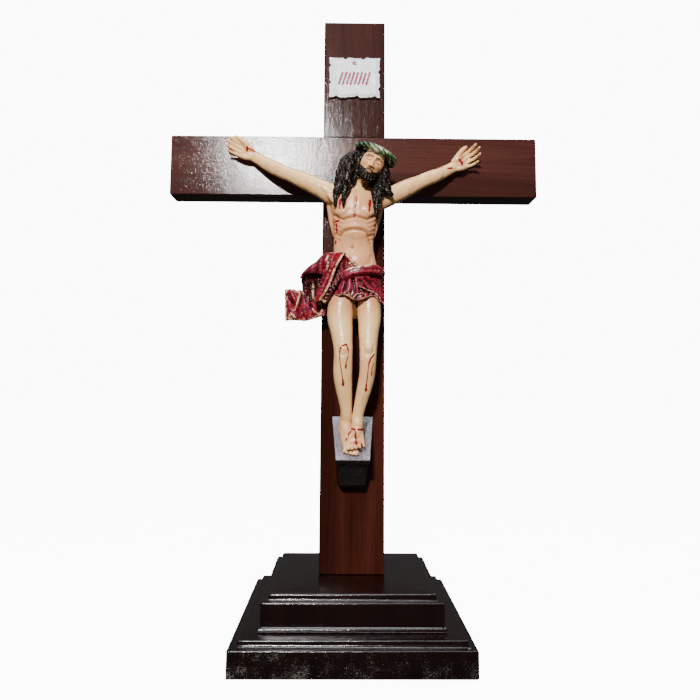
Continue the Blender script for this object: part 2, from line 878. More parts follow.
WOUNDS = (
    Stroke(0.45, ((1.5, -35.3), (0.6, -43))), Stroke(0.3, ((0.6, -43.5), (1.2, -46))),
    Stroke(0.85, ((0.3, -49.3), (0.2, -51))), Stroke(0.75, ((-15.2, -53.4), (-11.8, -52.9))),
    Stroke(0.6, ((-13.6, -55), (-13.1, -61.5))), Stroke(0.75, ((-14, -67.6), (-14, -69.4))),
    Stroke(0.9, ((-10.9, -37.5), (-11, -41))), Stroke(0.55, ((-11, -41), (-11.2, -44.6))),
    Stroke(1.1, ((11.8, -38), (11.5, -42.6))), Stroke(0.7, ((11.5, -42.6), (11.1, -46.4))),
    Stroke(0.8, ((-0.9, -208.7), (2, -209.2), (7.2, -209.2))),
    Stroke(0.8, ((2.2, -209.6), (1.7, -213.4), (2.3, -219.6))),
    Stroke(0.6, ((-1.6, -210.6), (-3.2, -212.8), (-5.2, -217.3))),
    Stroke(1, ((-85.3, 11.6), (-85.6, 8.8))), Stroke(0.6, ((-84.6, 10.6), (-79.3, 8.2))),
    Stroke(0.4, ((-79.3, 8.2), (-71.4, 4.8))), Stroke(0.65, ((-71.4, 4.8), (-66.5, 3.4))),
    Stroke(1.1, ((84.3, 2.9), (86.4, 1), (86.4, -1))), Stroke(0.9, ((74.6, -5.2), (77.6, -4.3))),
    Stroke(0.65, ((62.6, -6.3), (65, -5.7))), Stroke(0.4, ((65, -5.7), (71.3, -3.1))),
    Stroke(0.75, ((-9.8, -150.2), (-8.2, -148.5), (-5.5, -147.3))),
    Stroke(0.5, ((-10.4, -152.9), (-9.8, -150.2))), Stroke(0.55, ((-5.4, -147.4), (-3.9, -151.2))),
    Stroke(0.4, ((-3.9, -151.2), (-4.2, -156.1), (-5.6, -161.5))),
    Stroke(0.7, ((-5.6, -161.8), (-5.7, -164.4))),
    Stroke(0.42, ((-10.4, -152.9), (-10, -160), (-8.5, -169), (-7.8, -173))),
    Stroke(0.8, ((-7.8, -172.8), (-7.6, -176.6))), Stroke(1.1, ((-7.5, -175.4), (-7.5, -176.8))),
    Stroke(0.65, ((14.7, -154.4), (12.8, -157), (10.9, -161.4))),
    Stroke(0.42, ((10.9, -161.4), (10.2, -169.2), (9.3, -177))),
    Stroke(0.75, ((9.3, -176.6), (9.1, -180.4))), Stroke(1.05, ((9.1, -179.4), (9.1, -180.8))),
    Stroke(0.42, ((14.5, -160.9), (13.4, -164.4), (13.2, -168))), Stroke(0.6, ((13.2, -167.8),
                                                                               (13.2, -169.6))),
)
BLUSHES = (
    Stroke(4.2, ((-85, 10.4), (-82, 9.6))), Stroke(4.2, ((85.2, 1), (85.8, 0))),
    Stroke(2.6, ((-13.5, -53), (-13.4, -62))), Stroke(5.2, ((2.6, -210), (2.4, -218))),
    Stroke(2.6, ((-11, -38), (-11, -43))), Stroke(2.4, ((11.6, -38.5), (11.2, -44.5))),
    Stroke(2.2, ((-4.4, -214), (-4.8, -218))),
)
WASHES = (
    Stroke(0.8, ((-25, -27), (-21.4, -31.5), (-18.6, -37.5), (-17.4, -45))),
    Stroke(0.8, ((27, -31), (23.2, -35.5), (20.2, -41))), Stroke(0.6, ((-21, -27.8), (-17.6, -30.6))),
)


@dataclass(frozen=True)
class SkinPaint:
    """Cream flesh paint under gloss, washed brown in its hollows and painted with wounds."""

    cream: Colour = (0.98, 0.605, 0.255)
    pink: Colour = (0.80, 0.34, 0.165)
    wash: Colour = (0.26, 0.14, 0.03)
    blush: Colour = (0.76, 0.16, 0.10)
    blood: Colour = (0.23, 0.0050, 0.0065)
    ragged: float = 1.3
    flatten: float = 0.15
    wash_from: float = 0.07
    wash_to: float = 0.48

    def strokes(self, nodes: Nodes, effects: Effects, marks: Sequence[Stroke], figure: "Figure",
                surface: BVHTree) -> Wire:
        """The union of many strokes, each pinned to the surface that faces the viewer.

        Args:
            nodes: The material's nodes.
            effects: The shared groups.
            marks: The strokes.
            figure: Where the figure hangs.
            surface: The surface that the strokes lie on.

        Returns:
            One on a stroke and nought away from it.
        """
        total: Value = 0.0
        scale = (1.0, self.flatten, 1.0)
        vector = nodes.mapped(nodes.place(), scale=scale)
        for stroke in marks:
            for piece in stroke.pieces():
                start, end = (tuple(a * b for a, b in zip(figure.pinned(point, surface), scale))
                              for point in piece)
                mask = nodes.effect(effects.stroke, "Mask", vector=vector, start=start, end=end,
                                    radius=stroke.radius * figure.unit, ragged=self.ragged)
                total = nodes.math("MAXIMUM", total, mask)
        return total

    def base(self, nodes: Nodes) -> Wire:
        """Cream with faint pink clouds and a brown wash where the form is hollow.

        Args:
            nodes: The material's nodes.

        Returns:
            The colour.
        """
        vector = nodes.place()
        cloud = nodes.span(nodes.noise(vector, 70.0, 3.0), 0.44, 0.70, 0.0, 0.55)
        colour = nodes.blend(nodes.math("MAXIMUM", cloud, nodes.mark("flush")), self.cream, self.pink)
        smudge = nodes.span(nodes.noise(vector, 260.0, 4.0, 0.65), 0.3, 0.7, 0.35, 1.0)
        wash = nodes.math("MULTIPLY", nodes.span(nodes.mark("hollow"), self.wash_from, self.wash_to), smudge)
        return nodes.blend(wash, colour, self.wash)

    def finish(self, nodes: Nodes, shader: Node, colour: Value, wet: Value = 0.0) -> None:
        """Gloss, and the faint lumps of brushed paint.

        Args:
            nodes: The material's nodes.
            shader: Its shader.
            colour: The paint's colour.
            wet: Where it is glossier.
        """
        vector = nodes.place()
        height = nodes.noise(vector, 330.0, 3.0, 0.6)
        rough = nodes.span(nodes.math("ADD", height, wet), 0.3, 1.2, 0.27, 0.16)
        nodes.shade(shader, base_color=colour, normal=nodes.bump(height, 0.45, 0.0010),
                    roughness=rough, specular_ior_level=0.5)

    def make(self, name: str, effects: Effects, figure: "Figure",
             surface: BVHTree) -> Material:
        """The body's material.

        Args:
            name: The material's name.
            effects: The shared groups.
            figure: Where the figure hangs.
            surface: The surface that the wounds lie on.

        Returns:
            The material.
        """
        material, nodes, shader = start_material(name)
        colour = self.base(nodes)
        for mark, paint in (("blush", self.blush), ("olive", self.wash)):
            colour = nodes.blend(nodes.mark(mark), colour, paint)
        wounds = self.strokes(nodes, effects, WOUNDS, figure, surface)
        colour = nodes.blend(wounds, colour, self.blood)
        self.finish(nodes, shader, colour, wounds)
        return material


@dataclass(frozen=True)
class FacePaint(SkinPaint):
    """Flesh paint with painted brows, lids, lips and beard."""

    brow: Colour = (0.022, 0.010, 0.006)
    lash: Colour = (0.040, 0.015, 0.008)
    lip: Colour = (0.42, 0.085, 0.065)
    beard: Colour = (0.012, 0.007, 0.0045)
    wash_from: float = 0.08
    wash_to: float = 0.7

    def make_face(self, name: str) -> Material:
        """The head's material.

        Args:
            name: The material's name.

        Returns:
            The material, which reads the head's marks.
        """
        material, nodes, shader = start_material(name)
        colour = self.base(nodes)
        for mark, paint, strength in (("cheek", self.blush, 0.4), ("lip", self.lip, 0.9),
                                      ("lash", self.lash, 0.9), ("brow", self.brow, 0.9),
                                      ("beard", self.beard, 1.0)):
            mask = nodes.math("MULTIPLY", nodes.mark(mark), strength)
            colour = nodes.blend(mask, colour, paint)
        self.finish(nodes, shader, colour)
        return material


@dataclass(frozen=True)
class Paint:
    """Brushed paint: a colour that each kind of paint works out, under faint lumps.

    Attributes:
        lumps: Scale, detail and roughness of the noise that the lumps follow.
        strength: How strongly they bend the light.
        depth: Their height in metres.
        roughness: Roughness of the skin.
        specular: How much it mirrors.
    """

    lumps: Point = (700.0, 2.0, 0.6)
    strength: float = 0.4
    depth: float = 0.0008
    roughness: float = 0.24
    specular: float = 0.5

    def colour(self, nodes: Nodes, vector: Wire) -> Wire:
        """The colour at object coordinates, which may follow the marks of the mesh."""
        raise NotImplementedError

    def make(self, name: str) -> Material:
        """The material.

        Args:
            name: The material's name.

        Returns:
            The material, which reads the marks of its mesh.
        """
        material, nodes, shader = start_material(name)
        vector = nodes.place()
        colour = self.colour(nodes, vector)
        height = nodes.noise(vector, *self.lumps)
        nodes.shade(shader, base_color=colour, roughness=self.roughness,
                    normal=nodes.bump(height, self.strength, self.depth),
                    specular_ior_level=self.specular)
        return material


@dataclass(frozen=True)
class HairPaint(Paint):
    """Near-black gloss paint, with brown where the locks stand out."""

    specular: float = 0.17
    dark: Colour = (0.0050, 0.0030, 0.0024)
    light: Colour = (0.038, 0.021, 0.013)

    def colour(self, nodes: Nodes, vector: Wire) -> Wire:
        """Brown patches on the ridges of the locks.

        Args:
            nodes: The material's nodes.
            vector: Object coordinates.

        Returns:
            The colour.
        """
        ridge = nodes.span(nodes.mark("hollow"), -0.30, -0.02, 1.0, 0.0)
        patch = nodes.span(nodes.noise(vector, 620.0, 4.0, 0.65), 0.48, 0.66)
        return nodes.blend(nodes.math("MULTIPLY", ridge, patch), self.dark, self.light)


@dataclass(frozen=True)
class CrownPaint(Paint):
    """Green gloss paint, near-black between the strands and yellow-green in long streaks."""

    lumps: Point = (900.0, 2.0, 0.6)
    roughness: float = 0.22
    dark: Colour = (0.0045, 0.0085, 0.0045)
    green: Colour = (0.030, 0.100, 0.040)
    bright: Colour = (0.30, 0.40, 0.10)
    pale: Colour = (0.72, 0.68, 0.46)

    def colour(self, nodes: Nodes, vector: Wire) -> Wire:
        """Green patches, streaks where the mesh marks them, and dark grooves.

        Args:
            nodes: The material's nodes.
            vector: Object coordinates.

        Returns:
            The colour.
        """
        deep = nodes.span(nodes.mark("hollow"), -0.15, 0.12)
        patch = nodes.span(nodes.noise(vector, 120.0, 3.0), 0.46, 0.64)
        colour = nodes.blend(patch, self.green, self.dark)
        ragged = nodes.span(nodes.noise(vector, 420.0, 4.0, 0.7), 0.29, 0.44)
        streak = nodes.math("MULTIPLY", ragged, nodes.mark("streak"))
        tint = nodes.blend(nodes.span(nodes.noise(vector, 260.0, 2.0), 0.44, 0.56), self.bright, self.pale)
        colour = nodes.blend(streak, colour, tint)
        return nodes.blend(deep, colour, self.dark)


@dataclass(frozen=True)
class ClothPaint(Paint):
    """Crimson gloss paint, maroon in the folds, with pale gold on raised hems."""

    lumps: Point = (420.0, 2.0, 0.6)
    depth: float = 0.0009
    specular: float = 0.40
    crimson: Colour = (0.26, 0.0085, 0.018)
    rose: Colour = (0.42, 0.050, 0.115)
    maroon: Colour = (0.022, 0.0036, 0.0036)
    gold: Colour = (0.74, 0.46, 0.27)
    ochre: Colour = (0.15, 0.085, 0.022)

    def colour(self, nodes: Nodes, vector: Wire) -> Wire:
        """Crimson and rose, then maroon folds, the ochre end and the gold trim.

        Args:
            nodes: The material's nodes.
            vector: Object coordinates.

        Returns:
            The colour.
        """
        patch = nodes.span(nodes.noise(vector, 150.0, 3.0, 0.6), 0.36, 0.60)
        colour = nodes.blend(nodes.math("MULTIPLY", patch, nodes.mark("rose")), self.crimson, self.rose)
        dull = nodes.span(nodes.noise(vector, 200.0, 4.0, 0.7), 0.46, 0.68, 0.0, 0.8)
        colour = nodes.blend(dull, colour, self.maroon)
        fold = nodes.span(nodes.mark("hollow"), -0.01, 0.26)
        shade = nodes.math("MAXIMUM", nodes.mark("shade"), fold, clamp=True)
        colour = nodes.blend(shade, colour, self.maroon)
        colour = nodes.blend(nodes.mark("ochre"), colour, self.ochre)
        worn = nodes.math("MULTIPLY", nodes.mark("gold"),
                          nodes.span(nodes.noise(vector, 420.0, 4.0, 0.75), 0.34, 0.56, 0.30, 1.0))
        trim = nodes.blend(nodes.span(nodes.noise(vector, 300.0, 3.0), 0.50, 0.66), self.gold, self.ochre)
        return nodes.blend(nodes.span(worn, 0.52, 0.78), colour, trim)


@dataclass(frozen=True)
class PlatePaint(Paint):
    """Bluish white satin paint with crimson strokes and a dot."""

    lumps: Point = (500.0, 3.0, 0.5)
    strength: float = 0.3
    roughness: float = 0.33
    white: Colour = (0.86, 0.88, 0.95)
    stained: Colour = (0.50, 0.48, 0.50)
    crimson: Colour = (0.30, 0.006, 0.040)
    dot: Colour = (0.28, 0.012, 0.060)

    def colour(self, nodes: Nodes, vector: Wire) -> Wire:
        """Clouded white, then the strokes and the dot where the mesh marks them.

        Args:
            nodes: The material's nodes.
            vector: Object coordinates.

        Returns:
            The colour.
        """
        cloud = nodes.span(nodes.noise(vector, 220.0, 4.0, 0.6), 0.50, 0.85, 0.0, 0.4)
        colour = nodes.blend(cloud, self.white, self.stained)
        colour = nodes.blend(nodes.span(nodes.mark("hollow"), 0.03, 0.3, 0.0, 0.7), colour, self.stained)
        rough = nodes.span(nodes.noise(vector, 1600.0, 3.0), 0.3, 0.7, -0.18, 0.18)
        for mark, paint in (("ink", self.crimson), ("dot", self.dot)):
            mask = nodes.span(nodes.math("ADD", nodes.mark(mark), rough), 0.35, 0.55)
            colour = nodes.blend(mask, colour, paint)
        return colour


# Pieces


def present(name: str, mesh: Mesh, material: Material, slot: str,
            *nodes: str) -> bpy.types.Object:
    """Link a finished piece, let it ride, and say what it stands for.

    Args:
        name: The piece's name.
        mesh: Its mesh, in place.
        material: Its finish.
        slot: The record's material slot.
        nodes: CAD nodes that it replaces.

    Returns:
        The piece.
    """
    item = bpy.data.objects.new(name, mesh)
    bpy.context.scene.collection.objects.link(item)
    mesh.materials.clear()
    mesh.materials.append(material)
    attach(item, "root")
    if nodes:
        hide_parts(*nodes)
    log.info("%s: %d points, %d faces", name, len(mesh.vertices), len(mesh.polygons))
    return item


@dataclass
class Tier:
    """One square step of the base, a moulding profile swept round a square."""

    node: str
    face_share: float
    inset: float
    foot_bead: float = 0.0
    nose: float = 0.0010
    round: float = 0.0009
    corner: float = 0.0012
    wear: float = 0.00006

    def profile(self) -> list[Spot]:
        """Half width and height from the top's middle down the side to the underside.

        Returns:
            Points of the profile, in metres.
        """
        low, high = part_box(self.node)
        bead = self.foot_bead
        half = high.x - bead
        bottom, top = low.z, high.z
        face = bottom + (top - bottom) * self.face_share
        shoulder, step = half - self.inset, half - self.inset * 0.33
        cove = min(top - face - 2 * self.nose, step - shoulder)
        line = [(0.0, top), (shoulder * 0.5, top), (shoulder - self.nose, top)]
        line += self.arc((shoulder - self.nose, top - self.nose), self.nose, 80, 0, 7)
        line += self.arc((shoulder + cove, top - 2 * self.nose), cove, 180, 270, 10)
        line += [(step, face + 0.00002)]
        line += self.arc((half - self.round, face - self.round), self.round, 90, 0, 8)
        if bead:
            line += [(half, bottom + 2.15 * bead)]
            line += self.arc((half, bottom + bead), bead, 80, -90, 11)
        else:
            line += [(half, bottom + (face - bottom) * t) for t in (0.75, 0.5, 0.25)]
            line += self.arc((half - self.round, bottom + self.round), self.round, 0, -90, 6)
        line += [(half * 0.5, bottom), (0.0, bottom)]
        return line

    @staticmethod
    def arc(centre: Spot, radius: float, start: float, end: float,
            count: int) -> list[Spot]:
        """Points of an arc, angles in degrees.

        Args:
            centre: Its middle.
            radius: Its radius.
            start: First angle.
            end: Last angle.
            count: How many points.

        Returns:
            The points.
        """
        angles = np.radians(np.linspace(start, end, count))
        return [(centre[0] + radius * math.cos(a), centre[1] + radius * math.sin(a)) for a in angles]

    def shell(self) -> Shell:
        """The profile carried round a square with small round corners.

        At each height the outline is a square of the profile's half width; near a corner its
        points are drawn in along a circle, and a slow wave of some hundredths of a millimetre
        keeps the edges hand-rubbed.

        Returns:
            The step as a shell.
        """
        line = np.array(self.profile())[1:-1]
        bare = 1 - self.corner / line[:, 0].max()
        side = np.concatenate((np.linspace(-1, -bare, 6)[:-1], np.linspace(-bare, bare, 40),
                               np.linspace(bare, 1, 6)[1:-1]))
        turns = [(1, 0), (0, 1), (-1, 0), (0, -1)]
        unit_x = np.concatenate([c - s * side for c, s in turns])
        unit_y = np.concatenate([s + c * side for c, s in turns])
        half, height = line[:, 0][:, None], line[:, 1][:, None]
        corner = self.corner / np.maximum(half, self.corner)
        into = np.clip((np.minimum(np.abs(unit_x), np.abs(unit_y)) - (1 - corner)) / corner, 0, 1)
        pull = 1 - corner * 0.42 * into ** 2
        wave = self.wear * (np.sin(unit_x * 9 + height * 900) + np.sin(unit_y * 11 - height * 700))
        wave = np.abs(wave) * ease(0.4, 0.9, half / line[:, 0].max()) * ease(0, 0.002, height - height.min())
        return loft(np.stack((unit_x * half * pull - np.sign(unit_x) * wave,
                              unit_y * half * pull - np.sign(unit_y) * wave,
                              height + 0 * unit_x), -1))


@dataclass
class Base:
    """The two steps of the base."""

    lower: Tier = field(default_factory=lambda: Tier("base_lower_tier", 0.8, 0.0058))
    upper: Tier = field(default_factory=lambda: Tier("base_upper_tier", 0.807, 0.005, 0.0016, 0.0015))
    dusty_height: float = 0.018
    haze: float = 0.85

    def build(self, effects: Effects) -> None:
        """Make and dress both steps.

        Args:
            effects: The shared groups.
        """
        for tier, dusty in ((self.lower, self.dusty_height), (self.upper, 0.0)):
            finish = DarkLacquer(dusty_below=dusty)
            mesh = mesh_of(tier.node + "_turned", tier.shell(), 32.0)
            rise = read_points(mesh, "normal")[:, 2]
            tilt = self.haze * ease(0.30, 0.55, rise) * ease(0.98, 0.90, rise)
            mark_points(mesh, "tilt", tilt)
            present(tier.node + "_moulded", mesh, finish.make("lacquer " + tier.node, effects),
                    "dark_stained_wood", tier.node)


@dataclass
class Cross:
    """The two boards and the footrest, whose solids are right and get their finish here."""

    boards: dict[str, tuple[VarnishedBoard, Grain]] = field(default_factory=lambda: {
        "cross_upright": (VarnishedBoard(), Grain.UPRIGHT),
        "cross_beam": (VarnishedBoard((0.080, 0.026, 0.020), (0.042, 0.0128, 0.0104),
                                      (0.016, 0.005, 0.004)), Grain.LEVEL)})
    footrest: DarkLacquer = DarkLacquer(colour=(0.0060, 0.0038, 0.0036), bare=(0.012, 0.008, 0.0075))

    def dress(self, effects: Effects) -> None:
        """Give each carried-over solid its material.

        Args:
            effects: The shared groups.
        """
        for node, (board, grain) in self.boards.items():
            self.coat(node, board.make("varnish " + node, effects, grain))
        low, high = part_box("footrest")
        finish = replace(self.footrest, hazy_slope=high.z - high.y)
        self.coat("footrest", finish.make("lacquer footrest", effects))

    @staticmethod
    def coat(node: str, material: Material) -> None:
        """Put a material on a CAD node.

        Args:
            node: The node's name.
            material: Its finish.
        """
        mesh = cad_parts[node].data
        mesh.materials.clear()
        mesh.materials.append(material)
        log.info("%s: dressed", node)


@dataclass
class TitlePlate:
    """Cast plate with torn edges, a row of slanted strokes and a dot."""

    thickness: float = 0.0028
    tear: float = 0.0017
    strokes: tuple[float, ...] = (0.92, 1.0, 0.86, 1.0, 0.9, 0.96, 0.84, 1.0)
    stroke_half_height: float = 0.0050
    stroke_slant: float = 0.0015
    stroke_width: float = 0.00092
    stroke_depth: float = 0.0003
    block_half_width: float = 0.0112
    block_drop: float = 0.0008
    dot_place: Spot = (0.0001, 0.0122)
    dot_radius: float = 0.0019
    rings: int = 80
    points_a_side: int = 110

    def outline(self, half_w: float, half_h: float) -> Array:
        """Points of the torn rectangle.

        Every side is a run of points; each nick is a smooth dent at its share of the side,
        and a slow wave keeps the edge from being straight.

        Args:
            half_w: Half the width.
            half_h: Half the height.

        Returns:
            One row of two numbers a point.
        """
        sides = [((-half_w, -half_h), (half_w, -half_h), (0.14, 0.55, 0.9)),
                 ((half_w, -half_h), (half_w, half_h), (0.22, 0.64)),
                 ((half_w, half_h), (-half_w, half_h), (0.33, 0.68)),
                 ((-half_w, half_h), (-half_w, -half_h), (0.2, 0.62))]
        points = []
        for start, end, nicks in sides:
            share = np.linspace(0, 1, self.points_a_side + 1)[:-1]
            along = np.subtract(end, start)
            inward = np.array((-along[1], along[0])) / np.hypot(*along)
            depth = 0.18 * self.tear * (1 + np.sin(share * 17.0 + start[0] * 300))
            depth = depth + 0.05 * self.tear * (1 + np.sin(share * 61.0 + start[1] * 500))
            for nick in nicks:
                depth = depth + self.tear * np.exp(-((share - nick) / 0.035) ** 2)
            depth = depth * np.sin(np.pi * share) ** 0.3
            points.append(np.outer(1 - share, start) + np.outer(share, end) + np.outer(depth, inward))
        return np.vstack(points)

    def shell(self) -> Shell:
        """Rings from the back's middle out to the edge, round it, and in again over the front.

        A ring is the outline shrunk to a share of itself; the front's height is the thickness
        with a rolled rim, a slow wave, a curled lower corner, and a dent along each stroke.

        Returns:
            The plate as a shell, marked with its strokes and its dot.
        """
        low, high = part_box("title_plaque")
        half_w, half_h = (high.x - low.x) / 2, (high.z - low.z) / 2
        outline = self.outline(half_w, half_h)
        middle = Vector(((low.x + high.x) / 2, 0, (low.z + high.z) / 2))
        back = np.linspace(0.15, 0.985, 6)
        rim = np.radians(np.linspace(-80, 80, 9))
        front = np.linspace(0.985, 0.02, self.rings)
        share = np.concatenate((back, 0.985 + 0.015 * np.cos(rim), front))[:, None]
        lift = np.concatenate((0 * back, 0.5 + 0.5 * np.sin(rim), 0 * front + 1))[:, None]
        x, z = share * outline[:, 0], share * outline[:, 1]
        on_front = (np.arange(len(share)) >= len(back) + len(rim))[:, None]
        ink = self.inked(x, z)
        dot = np.exp(-(((x - self.dot_place[0]) ** 2 + (z - self.dot_place[1]) ** 2)
                       / self.dot_radius ** 2) ** 2)
        rolled = 1 - 0.8 * mound(x, z, (-half_w * 0.9, -half_h * 0.8), (0.006, 0.007))
        relief = -self.stroke_depth * ink - 0.0002 * dot
        relief = relief - 0.0006 * ease(0.82, 1.0, share) * rolled
        relief = relief + 0.0002 * ease(0.70, 0.84, share) * ease(0.95, 0.86, share)
        relief = relief - 0.00012 * (1 + np.sin(x * 330) * np.sin(z * 420 + 1.0))
        ribs = mound(x, z, (-half_w * 0.8, -half_h * 0.75), (0.004, 0.004))
        relief = relief - 0.00012 * ribs * (1 + np.sin((x - z) * 5200))
        y = high.y - (self.thickness * lift + on_front * relief)
        return loft(np.stack((middle.x + x, y, middle.z + z), -1),
                    {"ink": ink * on_front, "dot": dot * on_front})

    def inked(self, x: Array, z: Array) -> Array:
        """Nearness to a row of parallel slanted strokes of uneven length.

        Args:
            x: Place of each point across.
            z: Place of each point upwards.

        Returns:
            One on a stroke and nought away from it.
        """
        total = np.zeros_like(x)
        for across, share in zip(np.linspace(-1, 1, len(self.strokes)), self.strokes):
            middle, tall = across * self.block_half_width, self.stroke_half_height * share
            line = ((middle - self.stroke_slant * share, -self.block_drop - tall),
                    (middle + self.stroke_slant * share, -self.block_drop + tall))
            total = np.maximum(total, crease(x, z, line, self.stroke_width))
        return total

    def build(self) -> None:
        """Make and dress the plate."""
        mesh = mesh_of("title_plate", self.shell())
        mark_points(mesh, "hollow", hollows(mesh, 12))
        present("title_plate_torn", mesh, PlatePaint().make("plate paint"), "pale_resin", "title_plaque")


@dataclass
class Figure:
    """Where the cast figure hangs: its millimetres turned into the model's metres."""

    unit: float = 0.001
    front: float = field(default_factory=lambda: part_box("cross_upright")[0].y)
    centre: float = field(default_factory=lambda: sum(c.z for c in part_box("cross_beam")) / 2)
    clearance: float = 0.0003
    slope_drop: float = 200.7
    slope: float = math.radians(45)
    rest_reach: float = 0.0335
    viewer: float = 80.0

    def world(self, points: Array) -> Array:
        """Figure millimetres (x, forward, up) to metres in the model's frame."""
        return np.stack((points[..., 0] * self.unit, self.front - points[..., 1] * self.unit,
                         self.centre + points[..., 2] * self.unit), -1)

    def own(self, points: Array) -> Array:
        """Metres in the model's frame to figure millimetres."""
        return np.stack((points[..., 0], self.front - points[..., 1],
                         points[..., 2] - self.centre), -1) / self.unit

    def hung(self, shell: Shell) -> Shell:
        """A shell of figure millimetres moved into the model's frame."""
        return Shell(self.world(shell.points), shell.quads[:, ::-1], shell.triangles[:, ::-1],
                     shell.marks).outward()

    def cast(self, name: str, shell: Shell, rounds: int) -> Mesh:
        """A mesh that touches neither cross nor footrest, with its hollows marked.

        Args:
            name: The mesh's name.
            shell: A shell of figure millimetres.
            rounds: How often points are drawn together to find the hollows.

        Returns:
            The mesh.
        """
        mesh = mesh_of(name, self.hung(shell))
        move_points(mesh, self.trimmed(read_points(mesh)))
        mark_points(mesh, "hollow", hollows(mesh, rounds))
        return mesh

    def trimmed(self, points: Array) -> Array:
        """Points kept before the cross face and above the footrest's slope, in metres.

        Args:
            points: Points in metres.

        Returns:
            The points, moved where they have to be.
        """
        kept = points.copy()
        kept[:, 1] = np.minimum(kept[:, 1], self.front - self.clearance)
        rest = self.centre - self.slope_drop * self.unit
        out = self.front - kept[:, 1]
        floor = rest - out * math.tan(self.slope)
        near = out < self.rest_reach
        kept[:, 2] = np.where(near, np.maximum(kept[:, 2], floor), kept[:, 2])
        return kept

    def pinned(self, point: Spot, surface: BVHTree) -> Point:
        """The place on a surface that the viewer sees at an (x, up) point, in metres.

        Args:
            point: The point, in figure millimetres.
            surface: The surface.

        Returns:
            The place, or one just before the cross where the surface is missed.
        """
        spot = self.world(np.array((point[0], self.viewer, point[1])))
        hit = surface.ray_cast(Vector(spot), Vector((0, 1, 0)))[0]
        return tuple(hit) if hit else (float(spot[0]), self.front - 0.02, float(spot[2]))

    def on_slope(self, x: float, along: float, off: float, half_width: float,
                 half_depth: float) -> tuple[float, ...]:
        """A station of a foot from its way along the slope and its height off it.

        Args:
            x: Place across.
            along: Way down the slope.
            off: Height off the slope.
            half_width: The station's half width.
            half_depth: Its half depth.

        Returns:
            The station.
        """
        down, out = along * math.sin(self.slope), along * math.cos(self.slope)
        return (x, out + off * math.sin(self.slope),
                -self.slope_drop - down + off * math.cos(self.slope), half_width, half_depth)


@dataclass
class Hand:
    """A hand as a palm, a thumb and four fingers in its own along, across, out axes."""

    wrist: Point
    heading: float
    mirror: float
    curl: Point
    thumb: tuple[Point, ...]
    tips: tuple[Spot, ...]
    roots: tuple[Spot, ...] = ((11.2, 4.5), (12.2, 1.5), (11.8, -1.6), (10.4, -4.6))
    radii: tuple[float, ...] = (1.4, 1.45, 1.4, 1.25)

    def place(self, points: Rows) -> Array:
        """Hand axes to figure millimetres.

        Args:
            points: Points in the hand's axes.

        Returns:
            The points in figure millimetres.
        """
        along = np.array((math.cos(self.heading) * self.mirror, 0.0, math.sin(self.heading)))
        across = np.array((-math.sin(self.heading) * self.mirror, 0.0, math.cos(self.heading)))
        p = np.asarray(points, dtype=float)
        return np.array(self.wrist) + p[:, :1] * along + p[:, 1:2] * across + p[:, 2:] * (0, 1, 0)

    def finger(self, root: Sequence[float], tip: Sequence[float], radius: float) -> Shell:
        """A finger from its knuckle to a tip, bent at its three joints towards the viewer.

        Args:
            root: Its knuckle, along and across.
            tip: Its tip, along and across.
            radius: Its radius.

        Returns:
            The finger as a shell.
        """
        bend, reach, lift = 0.0, [0.0], [0.0]
        for share, turn in zip((0.42, 0.31, 0.27), self.curl):
            bend += turn
            reach.append(reach[-1] + share * math.cos(bend))
            lift.append(lift[-1] + share * math.sin(bend))
        run = (tip[0] - root[0] - 0.7 * radius) / reach[-1]
        joints = [(root[0] - 4.0, root[1] * 0.82, -0.2)]
        joints += [(root[0] + run * r, root[1] + (tip[1] - root[1]) * r / reach[-1], 0.3 + run * h)
                   for r, h in zip(reach, lift)]
        sizes = (radius * 0.95, radius * 1.04, radius * 0.98, radius * 0.90, radius * 0.70)
        return rod(self.place(joints), sizes, 40, 20)

    def shells(self) -> list[Shell]:
        """Palm with thumb and heel pads, thumb, and fingers.

        Returns:
            One shell a form.
        """
        palm = [(-3, 0, 0, 4.2, 3.4), (1, 0, 0, 4.4, 3.3), (5, 0.2, 0, 5.7, 3.2), (8.5, 0.1, -0.3, 6.4, 2.7),
                (11, -0.1, -0.5, 6.3, 2.2), (12.6, -0.1, -0.6, 5.6, 1.6)]
        places = self.place([s[:3] for s in palm])
        parts = [limb([(*p, s[3], s[4]) for p, s in zip(places, palm)], 30, 32)]
        parts.append(rod(self.place([(3, 2.8, 1.3), (7, 4.0, 1.9), (10.5, 5.0, 1.6)]), (2.2, 2.6, 1.9)))
        parts.append(rod(self.place([(3, -2.8, 1.1), (7, -4.0, 1.4), (11, -4.5, 1.0)]), (1.9, 2.2, 1.7)))
        parts.append(rod(self.place(self.thumb), (2.3, 2.1, 1.9, 1.45), 30, 20))
        parts += [self.finger(*of) for of in zip(self.roots, self.tips, self.radii)]
        return parts


